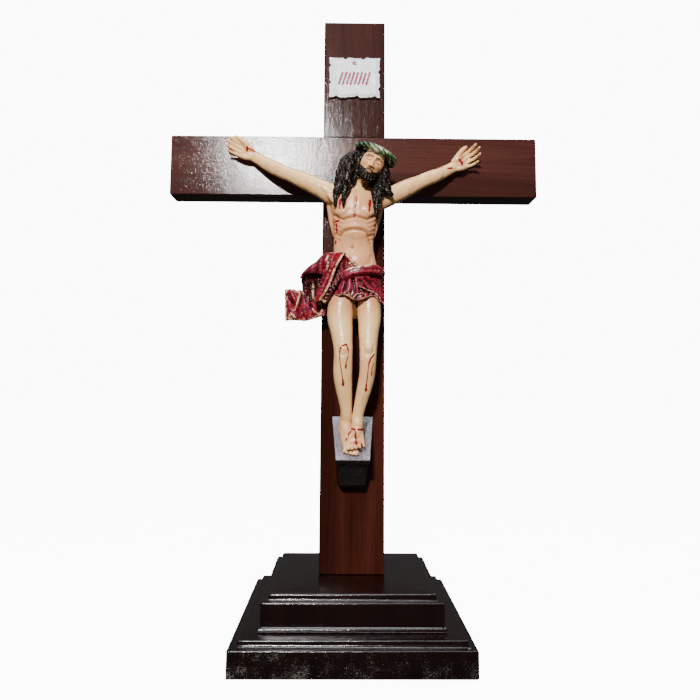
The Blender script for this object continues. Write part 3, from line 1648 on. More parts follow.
@dataclass
class Body:
    """The figure's body in one skin: trunk, arms, hands, legs and feet."""

    figure: Figure
    voxel: float = 0.00042
    faces_kept: int = 190000
    trunk: Stations = (
        (1.5, 20, -114, 13, 9), (1.5, 20, -106, 18, 11.5), (1, 20, -92, 17.8, 11),
        (-0.3, 20.5, -73, 15.3, 9.4), (0, 22, -60, 15.9, 11), (0.6, 23.5, -46, 17.4, 12.4),
        (1.4, 23.5, -34, 19.3, 11.3), (2.3, 22.5, -25, 14, 8.6), (4, 24, -18, 7, 6.6),
        (7, 27, -12, 6.2, 6.2), (9, 29, -5, 6, 6.2))
    left_arm: Stations = (
        (-6, 22, -35, 8.5, 8.5), (-16, 22.5, -31, 8.2, 8), (-25, 22, -26, 7.2, 7.2),
        (-34, 20.3, -21.3, 6.8, 6.7), (-42, 18, -17, 6.3, 6.2), (-51, 15.2, -12.4, 5.5, 5.4),
        (-57, 13.5, -9.5, 5.6, 5.4), (-66, 10.5, -4.3, 5.5, 5.2), (-75, 7.6, 1.6, 4.6, 4.1),
        (-81, 5.8, 5.6, 4.3, 3.5))
    right_arm: Stations = (
        (9, 22, -37, 8.5, 8.5), (20, 22.5, -34, 8.2, 8), (30, 22, -30, 7.2, 7.2),
        (38, 20.2, -25.6, 6.9, 6.7), (45, 18, -21.5, 6.4, 6.2), (52, 15.2, -17.6, 5.6, 5.5),
        (57, 13.5, -14.7, 5.6, 5.5), (66, 10.5, -10.2, 5.3, 5.1), (75, 7.6, -5, 4.6, 4.1),
        (80, 6.2, -1.9, 4.3, 3.5))
    left_leg: Stations = (
        (-8, 20, -105, 10, 10.5), (-10.3, 24, -124, 9.8, 10), (-9, 29, -137, 8.3, 8.8),
        (-7.7, 32.5, -151, 7, 7.5), (-7.9, 30.5, -168, 7, 7.3), (-7, 27.6, -179, 6.2, 6.5),
        (-5.7, 24.8, -189, 5, 5.3), (-5, 22.6, -197, 4.3, 4.7), (-5.2, 19.5, -203, 4.5, 4.9),
        (-5.6, 15.5, -207.5, 4.5, 4.9))
    right_leg: Stations = (
        (10, 20, -105, 10, 10.5), (11.8, 24, -124, 8.9, 9.6), (11.2, 29, -137, 7.6, 8.4),
        (10.8, 33, -151, 6.4, 7.3), (10.2, 32, -168, 5.9, 7), (8.2, 30, -179, 5.5, 6.2),
        (5.8, 27.6, -189, 4.7, 5), (3.6, 26.4, -199, 4.1, 4.5), (3.2, 27.4, -206, 4.1, 4.4))
    left_hand: Hand = field(default_factory=lambda: Hand(
        (-79.5, 6, 4.6), 0.46, -1, (0.12, 0.20, 0.2),
        ((5, 3.8, 1.4), (9.5, 5.8, 2.2), (15, 7.2, 2.7), (20.5, 7.4, 2.4)),
        ((25.4, 4.3), (26.4, 1.2), (25, -2.1), (21.8, -5.4))))
    right_hand: Hand = field(default_factory=lambda: Hand(
        (78.5, 6.2, -2.8), 0.50, 1, (0.30, 0.50, 0.45),
        ((4, 3.8, 1.4), (8.5, 6, 2.6), (13, 8, 3.4), (17, 9, 3.4)),
        ((23.9, 5.8), (25.2, 2), (23.6, -2.4), (19.8, -6.6))))

    front_relief: tuple = (
        (-1.25, ((-15.5, -48), (-12.5, -51), (-9, -52.6), (-2, -51.4), (0.4, -49.8), (3, -51.2),
                 (10, -52.4), (13.4, -50.6), (16.5, -47.6)), 1),
        (0.5, ((-13.5, -47.4), (-8, -49.8), (-2, -49)), 1.8),
        (0.5, ((14.5, -47.4), (9.2, -49.8), (3, -49)), 1.8),
        (-1.25, ((-12.6, -69), (-11, -64.4), (-8, -61.6), (-4, -60.6), (0.6, -60.4), (5, -60.6),
                 (8.8, -62), (11.6, -65), (13, -69.5)), 1.15),
        (0.9, ((-10.6, -61.2), (-8.4, -58.8), (-4, -57.8), (0.6, -57.6), (5, -57.8),
               (9.4, -59.2), (11.4, -61.6)), 1.5),
        (-0.7, ((1.6, -29), (0.8, -38), (0.4, -48.4)), 1),
        (-0.35, ((0.2, -62.5), (-0.8, -71.8)), 1.4),
        (-1.5, (-1.2, -73.3), (1, 1.1)),
        (0.3, (-1.2, -75.8), (2, 1)),
        (-0.7, ((-13, -79), (-10.4, -85), (-6, -91)), 1.5),
        (-0.7, ((13.4, -79), (12, -85), (8, -90)), 1.5))
    shins: tuple = (
        (0.4, ((-7.9, -157), (-7.4, -172), (-5.6, -190)), 1),
        (0.4, ((10.8, -157), (9.4, -172), (5.2, -190)), 1))

    def muscles(self) -> list[Shell]:
        """Swellings that the skin is drawn over: breast, ribs, belly, collar bones, knees.

        Returns:
            One shell a swelling.
        """
        parts = [ball((-7, 27, -45), (8.6, 8.9, 7.2), 12), ball((8.4, 27, -45), (8.6, 8.9, 7.2), -12),
                 ball((0.6, 24.5, -57), (14.6, 9.9, 14)), ball((0.8, 23, -84), (12, 8.8, 12)),
                 ball((-33, 21.6, -22), (8, 6.2, 6.6), -27), ball((37, 21.4, -26.4), (8, 6.2, 6.6), 27),
                 ball((-64, 12, -5.6), (8, 4.8, 5), -29), ball((64, 12, -11.4), (8, 4.8, 5), 27),
                 ball((-7.8, 34.8, -150), (5, 5.8, 5.6)), ball((10.8, 35.4, -150), (4.7, 5.6, 5.4)),
                 ball((-10, 25.2, -127), (8.6, 8.8, 19)), ball((11.4, 25, -127), (7.8, 8.6, 19)),
                 ball((-8.4, 26.6, -167), (6.4, 7.2, 10)), ball((10.6, 28.2, -167), (5.6, 7, 10)),
                 rod([(-5.2, 19.4, -199), (-5.4, 20.2, -206), (-4.6, 22, -212)], (4.5, 4.6, 3.8)),
                 rod([(3.5, 26.5, -199), (3.1, 27.2, -206.5), (2.6, 28.8, -212.5)], (4.3, 4.3, 3.8)),
                 rod([(2.4, 30.4, -27.6), (-6, 29.6, -26.2), (-15, 26.8, -25.8)], (1.5, 1.5, 1.7)),
                 rod([(4, 30.4, -28), (11, 29.6, -28.2), (19, 26.8, -28.8)], (1.5, 1.5, 1.7)),
                 rod([(-0.2, 32.8, -10), (1.2, 32.2, -19), (2.9, 31, -27)], (1.9, 1.8, 1.4)),
                 rod([(9, 33, -16), (7, 32.4, -21), (4.4, 31, -27)], (1.7, 1.7, 1.3)),
                 rod([(-17, 19, -38), (-15.6, 18.5, -50), (-13.4, 19, -62)], (4.4, 4, 3)),
                 rod([(18.6, 19, -40), (16.2, 18.5, -50), (13.6, 19, -62)], (4.4, 4, 3)),
                 rod([(-24, 26.5, -29), (-16, 28.5, -36), (-9, 30, -44)], (2.2, 2.6, 2.2)),
                 rod([(27, 26.5, -33), (18, 28.5, -37), (10, 30, -44)], (2.2, 2.6, 2.2))]
        for x, side in ((-5.3, 1), (3.4, 1), (-5.3, -1), (3.4, -1)):
            up, out = (-203.5, 20.5) if x < 0 else (-205.0, 27.2)
            parts.append(ball((x + side * 2.7, out, up), (1.7, 2.0, 2.4)))
        return parts

    def feet(self) -> list[Shell]:
        """The lower foot lies on the footrest and the upper one is laid over it.

        Returns:
            The shells of feet and toes.
        """
        at = self.figure.on_slope
        lower = [at(-6, 7, 4.2, 3.0, 2.6), at(-6, 11, 5.6, 4.6, 5.0), at(-5.6, 18, 6.4, 5.2, 5.8),
                 at(-3.8, 27, 4.8, 5.1, 4.1), at(-2.2, 32.5, 3.4, 5.2, 2.6), at(-1.8, 35.0, 3.0, 4.9, 1.9)]
        upper = [at(3.3, 15, 17.5, 3.6, 3.6), at(3.0, 22, 14.6, 4.3, 4.4), at(2.5, 28, 11.2, 5.4, 3.7),
                 at(2.2, 32.0, 9.2, 6.4, 2.8), at(2.1, 34.4, 8.4, 6.6, 2.2)]
        parts = [limb(lower, 40, 36), limb(upper, 36, 36)]
        for x, along, off, inner, spread in ((-1.9, 35.2, 2.9, 1, 2.15), (2.1, 34.6, 8.2, -1, 2.7)):
            for number in range(5):
                shift = (2 - number) * spread * inner
                size = (1.55, 1.25, 1.2, 1.12, 1.02)[number]
                reach = (3.9, 4.0, 3.5, 2.8, 1.9)[number]
                path = [at(x + shift * 0.84, along - 4.2, off + 0.1, 0, 0)[:3],
                        at(x + shift * 0.98, along, off + 0.25, 0, 0)[:3],
                        at(x + shift * 1.05, along + reach * 0.6, off + 0.35, 0, 0)[:3],
                        at(x + shift * 1.08, along + reach, off - 0.5, 0, 0)[:3]]
                parts.append(rod(path, (size * 0.9, size * 0.84, size * 0.92, size), 24, 18))
        return parts

    def skin(self) -> Mesh:
        """All forms drawn into one skin by a voxel remesh, smoothed and thinned.

        Returns:
            The skin's mesh.
        """
        parts = [limb(self.trunk, 90, 72)]
        limbs = (self.left_arm, self.right_arm, self.left_leg, self.right_leg)
        parts += [limb(rows, 90, 44) for rows in limbs]
        parts += self.muscles() + self.feet() + self.left_hand.shells() + self.right_hand.shells()
        mesh = mesh_of("corpus_body", self.figure.hung(joined(parts)))
        item = bpy.data.objects.new("corpus_body forms", mesh)
        bpy.context.scene.collection.objects.link(item)
        fuse = item.modifiers.new("one skin", "REMESH")
        fuse.mode = "VOXEL"
        fuse.voxel_size = self.voxel
        fuse.use_smooth_shade = True
        smooth = item.modifiers.new("drawn together", "SMOOTH")
        smooth.factor = 0.5
        smooth.iterations = 4
        mesh = settled(item)
        bpy.data.objects.remove(item)
        return mesh

    def relief(self, points: Array) -> Array:
        """Height of the modelling of the front, in millimetres, at figure points.

        Furrows run under the breast, along the rib arch, down the middle and round the navel;
        ribs are faint parallel swellings at the sides, and the shin bones are faint ridges.

        Args:
            points: Points in figure millimetres.

        Returns:
            A height for each point.
        """
        x, out, up = points.T
        front = ease(20.0, 26.0, out) * ease(-125, -118, up) * ease(-16, -24, up)
        height = modelled(x, up, self.front_relief)
        for mirror, middle in ((-1, -0.6), (1, 1.2)):
            for step in range(5):
                rib = -54.5 - 3.2 * step
                line = ((middle + mirror * 9.4, rib - 1.0), (middle + mirror * 12.4, rib + 0.4),
                        (middle + mirror * 15.5, rib + 2.6))
                height -= 0.42 * crease(x, up, line, 0.8)
            height += 0.35 * mound(x, up, (middle + mirror * 8.0, -47.4), (0.9, 0.8))
        knees = 0 * up
        for x_knee, up_knee in ((-7.7, -150.5), (10.8, -150.0)):
            knees += 0.5 * mound(x, up, (x_knee, up_knee), (3.0, 2.8))
            knees -= 0.45 * crease(x, up, ((x_knee - 3.9, up_knee + 2), (x_knee - 3.4, up_knee - 3.4),
                                           (x_knee, up_knee - 5.0), (x_knee + 3.4, up_knee - 3.4),
                                           (x_knee + 3.9, up_knee + 2)), 0.9)
        knees += modelled(x, up, self.shins)
        return height * front + knees * ease(30, 33, out)

    def build(self, effects: Effects) -> None:
        """Make and dress the body.

        Args:
            effects: The shared groups.
        """
        mesh = self.skin()
        points, normals = read_points(mesh), read_points(mesh, "normal")
        height = self.relief(self.figure.own(points)) * self.figure.unit
        move_points(mesh, self.figure.trimmed(points + normals * height[:, None]))
        mesh = thinned(mesh, self.faces_kept)
        mark_points(mesh, "hollow", hollows(mesh, 45))
        own = self.figure.own(read_points(mesh))
        x, _, up = own.T
        flush = 0.8 * ease(-102, -92, up) * ease(-20, -34, up) * ease(26, 16, np.abs(x))
        flush = np.maximum(flush, ease(-134, -112, up) * ease(-100, -112, up))
        mark_points(mesh, "flush", flush)
        front = ease(0.0, -0.3, read_points(mesh, "normal")[:, 1])
        for mark, strokes, strength in (("blush", BLUSHES, 0.45), ("olive", WASHES, 0.6)):
            soft = [crease(x, up, stroke.line, stroke.radius) for stroke in strokes]
            mark_points(mesh, mark, strength * front * np.max(soft, axis=0))
        tree = BVHTree.FromPolygons([v.co for v in mesh.vertices], [p.vertices for p in mesh.polygons])
        material = SkinPaint().make("flesh paint", effects, self.figure, tree)
        present("corpus_body", mesh, material, "painted_resin", "corpus")


@dataclass
class Head:
    """Head with a plain classical face of even thirds, and the axes that hair and crown share."""

    figure: Figure
    centre: Point = (12.5, 31.0, -9.5)
    half: Point = (9.6, 11.4, 15.0)
    tilt: float = math.radians(24)
    lift: float = math.radians(1)
    turn: float = math.radians(8)
    features: tuple = (
        (1.25, (1.75, -5.5), (0.85, 0.95)),
        (-0.7, (0.9, -6.5), (0.5, 0.35)),
        (1.0, through(((0.8, 1.5), (3.5, 2.6), (6.0, 1.4)), 9), 1.2),
        (-1.9, (3.7, 0.2), (2.3, 1.7)),
        (1.35, (3.7, -0.2), (1.65, 1.15)),
        (-0.38, through(((2.1, -0.65), (3.7, -1.1), (5.3, -0.5)), 9), 0.3),
        (-0.28, through(((2.2, 0.5), (3.7, 1.1), (5.2, 0.6)), 9), 0.35),
        (0.7, (5.0, -3.2), (2.3, 1.9)),
        (-0.5, (4.6, -6.8), (1.8, 1.8)),
        (0.9, (0, -9.0), (3.6, 2.3)),
        (-0.3, (0, -7.4), (0.5, 0.8)),
        (0.75, ((0.0, -8.55), (0.7, -8.4), (2.0, -8.9)), 0.55),
        (0.8, ((0.0, -9.75), (1.6, -9.5)), 0.55),
        (-0.55, ((0.0, -9.1), (2.4, -9.05)), 0.26),
        (-0.7, (0, -10.9), (1.7, 0.6)),
        (1.9, (0, -13.0), (3.0, 2.0)))
    flush: float = 0.45

    def spun(self, side: Array, out: Array, up: Array) -> Array:
        """Head axes (side, front, up) to figure millimetres.

        Args:
            side: Place to the head's side.
            out: Place towards its front.
            up: Place towards its crown.

        Returns:
            The points in figure millimetres.
        """
        turning = np.array(Matrix.Rotation(-self.turn, 3, "Z") @ Matrix.Rotation(self.tilt, 3, "Y")
                           @ Matrix.Rotation(self.lift, 3, "X"))
        points = np.stack(np.broadcast_arrays(side, out, up), -1)
        return np.array(self.centre) + points @ turning.T

    def grid(self, rows: int, columns: int, closer: float = 0.0) -> tuple[Array, Array]:
        """Polar angle and angle round the head, set closer together towards the face.

        Args:
            rows: Steps from crown to chin.
            columns: Steps round the head.
            closer: How far the steps are drawn to the front.

        Returns:
            Angles from the crown and angles round the head.
        """
        polar = np.linspace(0.03, np.pi - 0.03, rows)[:, None]
        t = np.linspace(0, 2 * np.pi, columns, endpoint=False)[None, :]
        return polar, t + closer * np.cos(t)

    def shell(self) -> Shell:
        """Egg-shaped head with its face in relief.

        The egg is an ellipsoid narrowed towards the chin. Brow, sockets, closed lids, nose,
        lips, cheeks, chin and beard are bells and ridges added towards the front, set out by
        the usual thirds of a face: eyes halfway up the head, nose one third below the brow.

        Returns:
            The head as a shell, marked for its paint.
        """
        polar, around = self.grid(230, 260, 0.5)
        wide, deep, tall = self.half
        side = wide * np.sin(polar) * np.cos(around)
        out = deep * np.sin(polar) * np.sin(around)
        up = tall * np.cos(polar) + 0 * around
        jaw = np.clip(-up / tall, 0, 1)
        side = side * (1 - 0.26 * jaw ** 1.5)
        facing = ease(0.5, 7.0, out)
        mirrored = np.abs(side)
        beard = self.beard_area(mirrored, up)
        height = self.face(mirrored, up) + 0.9 * beard * ease(0, 3, -up - 8)
        curls = np.sin(3.1 * mirrored + 1.3 * np.sin(1.1 * up)) * np.sin(1.9 * up + 1.4 * mirrored)
        height = height + beard * (0.28 * curls + 0.16 * np.sin(7.5 * mirrored - 1.2 * up))
        brow = crease(mirrored, up, through(((1.5, 2.0), (3.6, 2.85), (6.0, 1.7)), 9), 0.46)
        lash = crease(mirrored, up, through(((2.0, -0.6), (3.7, -1.05), (5.4, -0.5)), 9), 0.24)
        marks = {"beard": np.maximum(beard * facing, ease(9.8, 10.6, up)),
                 "lip": facing * self.lips(side, up),
                 "brow": facing * np.clip(2.2 * brow, 0, 1), "lash": facing * np.clip(2.0 * lash, 0, 1),
                 "cheek": facing * mound(mirrored, up, (4.8, -3.6), (2.6, 2.2))}
        return loft(self.spun(side, out + facing * height, up), marks)

    @staticmethod
    def beard_area(mirrored: Array, up: Array) -> Array:
        """Where the short beard and moustache grow: jaw, chin and upper lip.

        Args:
            mirrored: Distance from the middle of the face.
            up: Height in the head's axes.

        Returns:
            One in the beard and nought off it.
        """
        jawline = ease(-0.5, 0.5, -up - 8.6 + 0.055 * mirrored ** 2.1)
        mouth = 1 - mound(mirrored, up, (0, -9.0), (2.9, 1.3)) ** 0.7
        moustache = crease(mirrored, up, ((0.35, -7.3), (2.2, -7.8), (3.9, -9.4)), 0.75)
        return np.clip(np.maximum(jawline * np.clip(mouth * 1.4, 0, 1), ease(0.3, 0.6, moustache)), 0, 1)

    @staticmethod
    def lips(side: Array, up: Array) -> Array:
        """Where the lips are painted."""
        return np.clip(1.3 * mound(side, up, (0, -9.0), (2.2, 0.85)), 0, 1) ** 2

    def face(self, mirrored: Array, up: Array) -> Array:
        """Height of the face over the egg, in millimetres.

        Args:
            mirrored: Distance of each point from the middle of the face.
            up: Its height in the head's axes.

        Returns:
            The nose, a ridge that widens downwards, and the modelled rows.
        """
        run = ease(2.2, -5.3, up) * ease(-6.6, -5.6, up)
        nose = 3.3 * run * np.exp(-(mirrored / (0.95 + 0.75 * ease(0, -5.5, up))) ** 2)
        return nose + modelled(mirrored, up, self.features)

    def build(self) -> None:
        """Make and dress the head."""
        mesh = mesh_of("corpus_head", self.figure.hung(self.shell()))
        mark_points(mesh, "hollow", hollows(mesh, 22))
        mark_points(mesh, "flush", np.full(len(mesh.vertices), self.flush))
        present("corpus_head", mesh, FacePaint().make_face("face paint"), "painted_resin", "corpus")


@dataclass
class Hair:
    """Long wavy hair: a grooved cap, hanging locks of many strands, and the beard's curls."""

    head: Head
    left: tuple[Stations, ...] = (
        ((5, 27, 0, 5, 5), (-5, 28, -6, 5.2, 5), (-9.3, 29, -15, 5, 4.8), (-11.8, 31, -26, 4.3, 4),
         (-14.2, 33, -35, 2.6, 2.5), (-14.6, 34, -42.6, 1.3, 1.2)),
        ((3, 33, -1, 4, 4), (-2.6, 36, -8, 4.4, 4.2), (-5, 37.5, -18, 4.6, 4.2),
         (-6.8, 38, -28, 3.8, 3.4), (-8.2, 38, -37, 2.3, 2.2), (-8.4, 38, -44, 1.2, 1)),
        ((6, 33, 2, 2, 2.4), (3.4, 35.4, -5, 2.6, 2.6), (2.2, 36, -13, 2.4, 2.4),
         (0.6, 36, -20, 1.9, 1.8), (-1.8, 36, -27, 1, 1)),
        ((6, 21, -2, 6, 6), (-1, 22, -12, 6, 6), (-5, 24, -24, 5.4, 5), (-7, 26, -33, 3, 3)))
    right: tuple[Stations, ...] = (
        ((22, 27, -3, 4.4, 5), (22.4, 29, -13, 4.4, 5), (22.5, 31, -22, 4.8, 4.6),
         (24.5, 33, -30, 4.2, 3.4), (29, 34, -34, 1.7, 1.5)),
        ((23.5, 26, -9, 3, 3.4), (21.4, 31, -20, 4.2, 3.6), (18.8, 34.6, -30, 4.4, 3.2),
         (16.6, 36.2, -42, 2.8, 2.2), (16.8, 36, -53, 1, 1)),
        ((22.5, 25, -12, 2.6, 3), (18.4, 31, -21, 3.6, 3.2), (15.6, 34, -28.5, 3.4, 2.8),
         (15.4, 35.6, -37, 2.4, 2), (15, 36, -46, 1, 1)),
        ((16, 21, -4, 6, 6), (15, 21, -14, 6, 6), (14, 22, -26, 5, 5), (12, 22, -34, 2, 2)))
    strands: int = 12
    faces_kept: int = 178000

    def cap(self) -> Shell:
        """Shell over the skull with wavy grooves that run down from the parting.

        An ellipsoid whose radius swells and sinks with sines of the angle round it, and the
        angle itself sways on the way down, so that the grooves wave.

        Returns:
            The cap as a shell.
        """
        polar, around = self.head.grid(190, 400)
        wide, deep, tall = self.head.half
        sway = around + 0.09 * np.sin(5.5 * polar + 3 * np.sin(around))
        sway = sway + 0.05 * np.sin(11 * polar + 7 * around)
        flow = np.abs(np.sin(sway * 13)) + 0.6 * np.abs(np.sin(sway * 23 + 1.3)) + 0.35 * np.sin(sway * 47)
        swell = 1 + 0.030 * (flow - 0.9) + 0.03 * np.sin(around * 5 + polar)
        side = (wide + 2.6) * np.sin(polar) * np.cos(around) * swell
        out = -3.9 + (deep + 1.4) * np.sin(polar) * np.sin(around) * swell
        up = 2.4 + (tall + 0.6) * np.cos(polar) + 0 * around
        return loft(self.head.spun(side, out, up))

    def lock(self, stations: Rows, seed: int) -> list[Shell]:
        """A core and strands that wind round it and wave, all narrowing to the tip.

        Strand k runs on the lock's skin at an angle that grows down the lock and sways by a
        sine; it is thickest a little below its root and swells and thins in beads.

        Args:
            stations: Stations of x, forward, up, half width and half depth.
            seed: A number that sets this lock's strands apart.

        Returns:
            The core and the strands.
        """
        rows = through(stations, 110)
        centre, across, deep = rows[:, :3], rows[:, 3], rows[:, 4]
        share = np.linspace(0, 1, len(rows))
        parts = [loft(along_path(centre, across * 0.72, deep * 0.72, 20))]
        steps = 96
        for number in range(self.strands):
            phase = 2 * np.pi * number / self.strands + seed * 0.7
            turn = phase + (0.7 + 0.35 * (number % 3)) * share * np.pi
            turn = turn + 0.55 * np.sin(share * (13 + number % 5) + phase * 2)
            ring = 0.74 + 0.16 * np.sin(share * (17 + 3 * (number % 3)) + phase * 1.7)
            skin = along_path(centre, across * ring, deep * ring, steps)
            at = (turn / (2 * np.pi) * steps) % steps
            low = at.astype(int) % steps
            part = (at - at.astype(int))[:, None]
            row = np.arange(len(rows))
            line = skin[row, low] * (1 - part) + skin[row, (low + 1) % steps] * part
            size = 0.30 * np.minimum(across, deep) * (1 - 0.35 * np.sin(share * 14 + phase * 3) ** 2)
            size = np.maximum(size * np.minimum(1, 0.25 + 6 * share) * np.sqrt(1.03 - share), 0.07)
            parts.append(loft(along_path(line, size * 1.15, size * 0.8, 10)))
        return parts

    def beard(self) -> list[Shell]:
        """Curls along the jaw and under the chin, each a short bent tube that ends in a point.

        Returns:
            One shell a curl.
        """
        parts = []
        for row, count in ((0, 11), (1, 14), (2, 12)):
            for number, across in enumerate(np.linspace(-1, 1, count)):
                fall = 1 - across ** 2
                bend = math.sin(number * 2.4 + row * 1.7)
                side = across * (6.6 - 0.9 * row)
                root = (side, 6.2 + 3.0 * fall + 0.5 * row, -9.2 - 1.6 * row - 0.6 * fall + 2.6 * abs(across))
                knee = (side * 0.92 + 0.8 * bend, 7.4 + 3.2 * fall + 0.4 * row,
                        -11.6 - 1.7 * row - 0.9 * fall + abs(across))
                tip = (side * 0.70 - 0.9 * bend, 6.8 + 3.4 * fall,
                       -13.4 - 1.5 * row - 1.9 * fall + abs(across))
                path = self.head.spun(*np.array((root, knee, tip)).T)
                parts.append(rod(path, (0.75, 1.05, 0.30), 18, 10))
        return parts

    def build(self) -> None:
        """Make and dress the hair."""
        parts = [self.cap()] + self.beard()
        for seed, stations in enumerate(self.left + self.right):
            parts += self.lock(stations, seed)
        mesh = thinned(self.head.figure.cast("corpus_hair", joined(parts), 16), self.faces_kept)
        present("corpus_hair", mesh, HairPaint().make("hair paint"), "painted_resin", "corpus")


@dataclass
class Crown:
    """Crown of thorns: thick strands twisted into an oval ring."""

    head: Head
    half_width: float = 14.6
    half_depth: float = 14.8
    thickness: float = 5.4
    rise: float = 9.0
    strands: int = 4
    twists: int = 4

    def shell(self) -> Shell:
        """Strands whose centres wind round the oval's line, each grooved along its length.

        A strand's centre stands off the oval by its orbit at an angle that grows with the way
        round; its section is a circle with five fine grooves that wind on their own.

        Returns:
            The strands as one shell, marked with their streaks.
        """
        angle = np.linspace(0, 2 * np.pi, 420, endpoint=False)[:, None]
        phase = np.linspace(0, 2 * np.pi, 44, endpoint=False)[None, :]
        parts = []
        for number in range(self.strands):
            wind = self.twists * angle + 2 * np.pi * number / self.strands + 0.25 * np.sin(3 * angle)
            orbit = self.thickness * 0.27 * (1 + 0.14 * np.sin(7 * angle + 2 * number))
            radius = self.thickness * 0.235 * (1 + 0.13 * np.sin(5 * angle + 2 * number)
                                               + 0.11 * np.abs(np.sin(2.5 * phase + 7 * angle)) - 0.05)
            outward = orbit * np.cos(wind) + radius * np.cos(phase)
            lift = orbit * np.sin(wind) + radius * np.sin(phase)
            side = (self.half_width + outward) * np.cos(angle)
            out = -1.5 + (self.half_depth + outward) * np.sin(angle)
            up = self.rise + 0.8 * np.cos(2 * angle) + lift
            streak = 0
            for way, start, run in ((2.0, 0.3, 5), (4.4, 2.1, 7), (0.7, 4.0, 6)):
                stripe = ease(0.55, 0.9, np.cos(phase - way - wind - 0.5 * np.sin(9 * angle)))
                broken = ease(0.0, 0.5, np.sin(run * angle + start + 1.9 * number))
                streak = np.maximum(streak, stripe * broken)
            streak = streak * ease(-0.75, 0.1, np.cos(angle)) + 0 * side
            parts.append(ring_loft(self.head.spun(side, out, up), {"streak": streak}))
        return joined(parts)

    def build(self) -> None:
        """Make and dress the crown."""
        mesh = self.head.figure.cast("corpus_crown", self.shell(), 24)
        present("corpus_crown", mesh, CrownPaint().make("crown paint"), "painted_resin", "corpus")


@dataclass(frozen=True)
class Fold:
    """A fold line in the view from the front: its points, its height, width and paint."""

    line: tuple[Spot, ...]
    height: float
    width: float
    gold: float = 0.0
    shade: float = 0.0
    rose: float = 0.0

    def press(self, x: Array, up: Array, marks: dict[str, Array]) -> Array:
        """Height that the fold adds at each point; its paint is laid over the marks.

        Args:
            x: Place of each point across.
            up: Place of each point upwards.
            marks: The cloth's marks, which are changed.

        Returns:
            A height for each point.
        """
        near = crease(x, up, self.line, self.width)
        for name, strength in (("gold", self.gold), ("shade", self.shade), ("rose", self.rose)):
            marks[name] = np.maximum(marks[name], strength * near)
            if name == "gold":
                marks["shade"] = marks["shade"] * (1 - strength * near)
        return self.height * near


@dataclass(frozen=True)
class Drape:
    """A loose part of the cloth, spread between two border lines of (x, up, forward) points."""

    top: tuple[Point, ...]
    bottom: tuple[Point, ...]
    folds: tuple[Fold, ...]
    belly: float = 0.0
    hem: tuple[float, float, float, float] = (0.0, 0.0, 0.0, 0.0)
    shade: float = 0.0
    rose: float = 0.0
    ochre: float = 0.0
    thickness: float = 1.5
    grid: tuple[int, int] = (150, 130)

    def shell(self) -> Shell:
        """Sheet from border to border, bellied out, with its folds pressed in and a thick rim.

        A point is the top line's point plus v times the way to the bottom line's point, moved
        forward by belly times sin(pi v) and by the height of every fold there.

        Returns:
            The cloth as a shell, marked for its paint.
        """
        columns, rows = self.grid
        v = np.linspace(0, 1, rows)[None, :, None]
        top, bottom = (through(line, columns)[:, None] for line in (self.top, self.bottom))
        sheet = top * (1 - v) + bottom * v
        x, up, out = sheet[..., 0], sheet[..., 1], sheet[..., 2].copy()
        v = v[..., 0] + 0 * x
        u = np.linspace(0, 1, columns)[:, None] + 0 * v
        marks = {"gold": 0 * v, "shade": self.shade + 0 * v, "rose": self.rose + 0 * v,
                 "ochre": self.ochre + 0 * v}
        out += self.belly * np.sin(np.pi * v)
        for fold in self.folds:
            out += fold.press(x, up, marks)
        out += 0.16 * np.sin(1.9 * x + 0.9 * up) + 0.12 * np.sin(2.7 * up - 1.1 * x)
        for edge, strength in zip((v, 1 - v, u, 1 - u), self.hem):
            marks["gold"] = np.maximum(marks["gold"], strength * ease(0.055, 0.03, edge))
        return slab(np.stack((x, out, up), -1), self.thickness, marks)


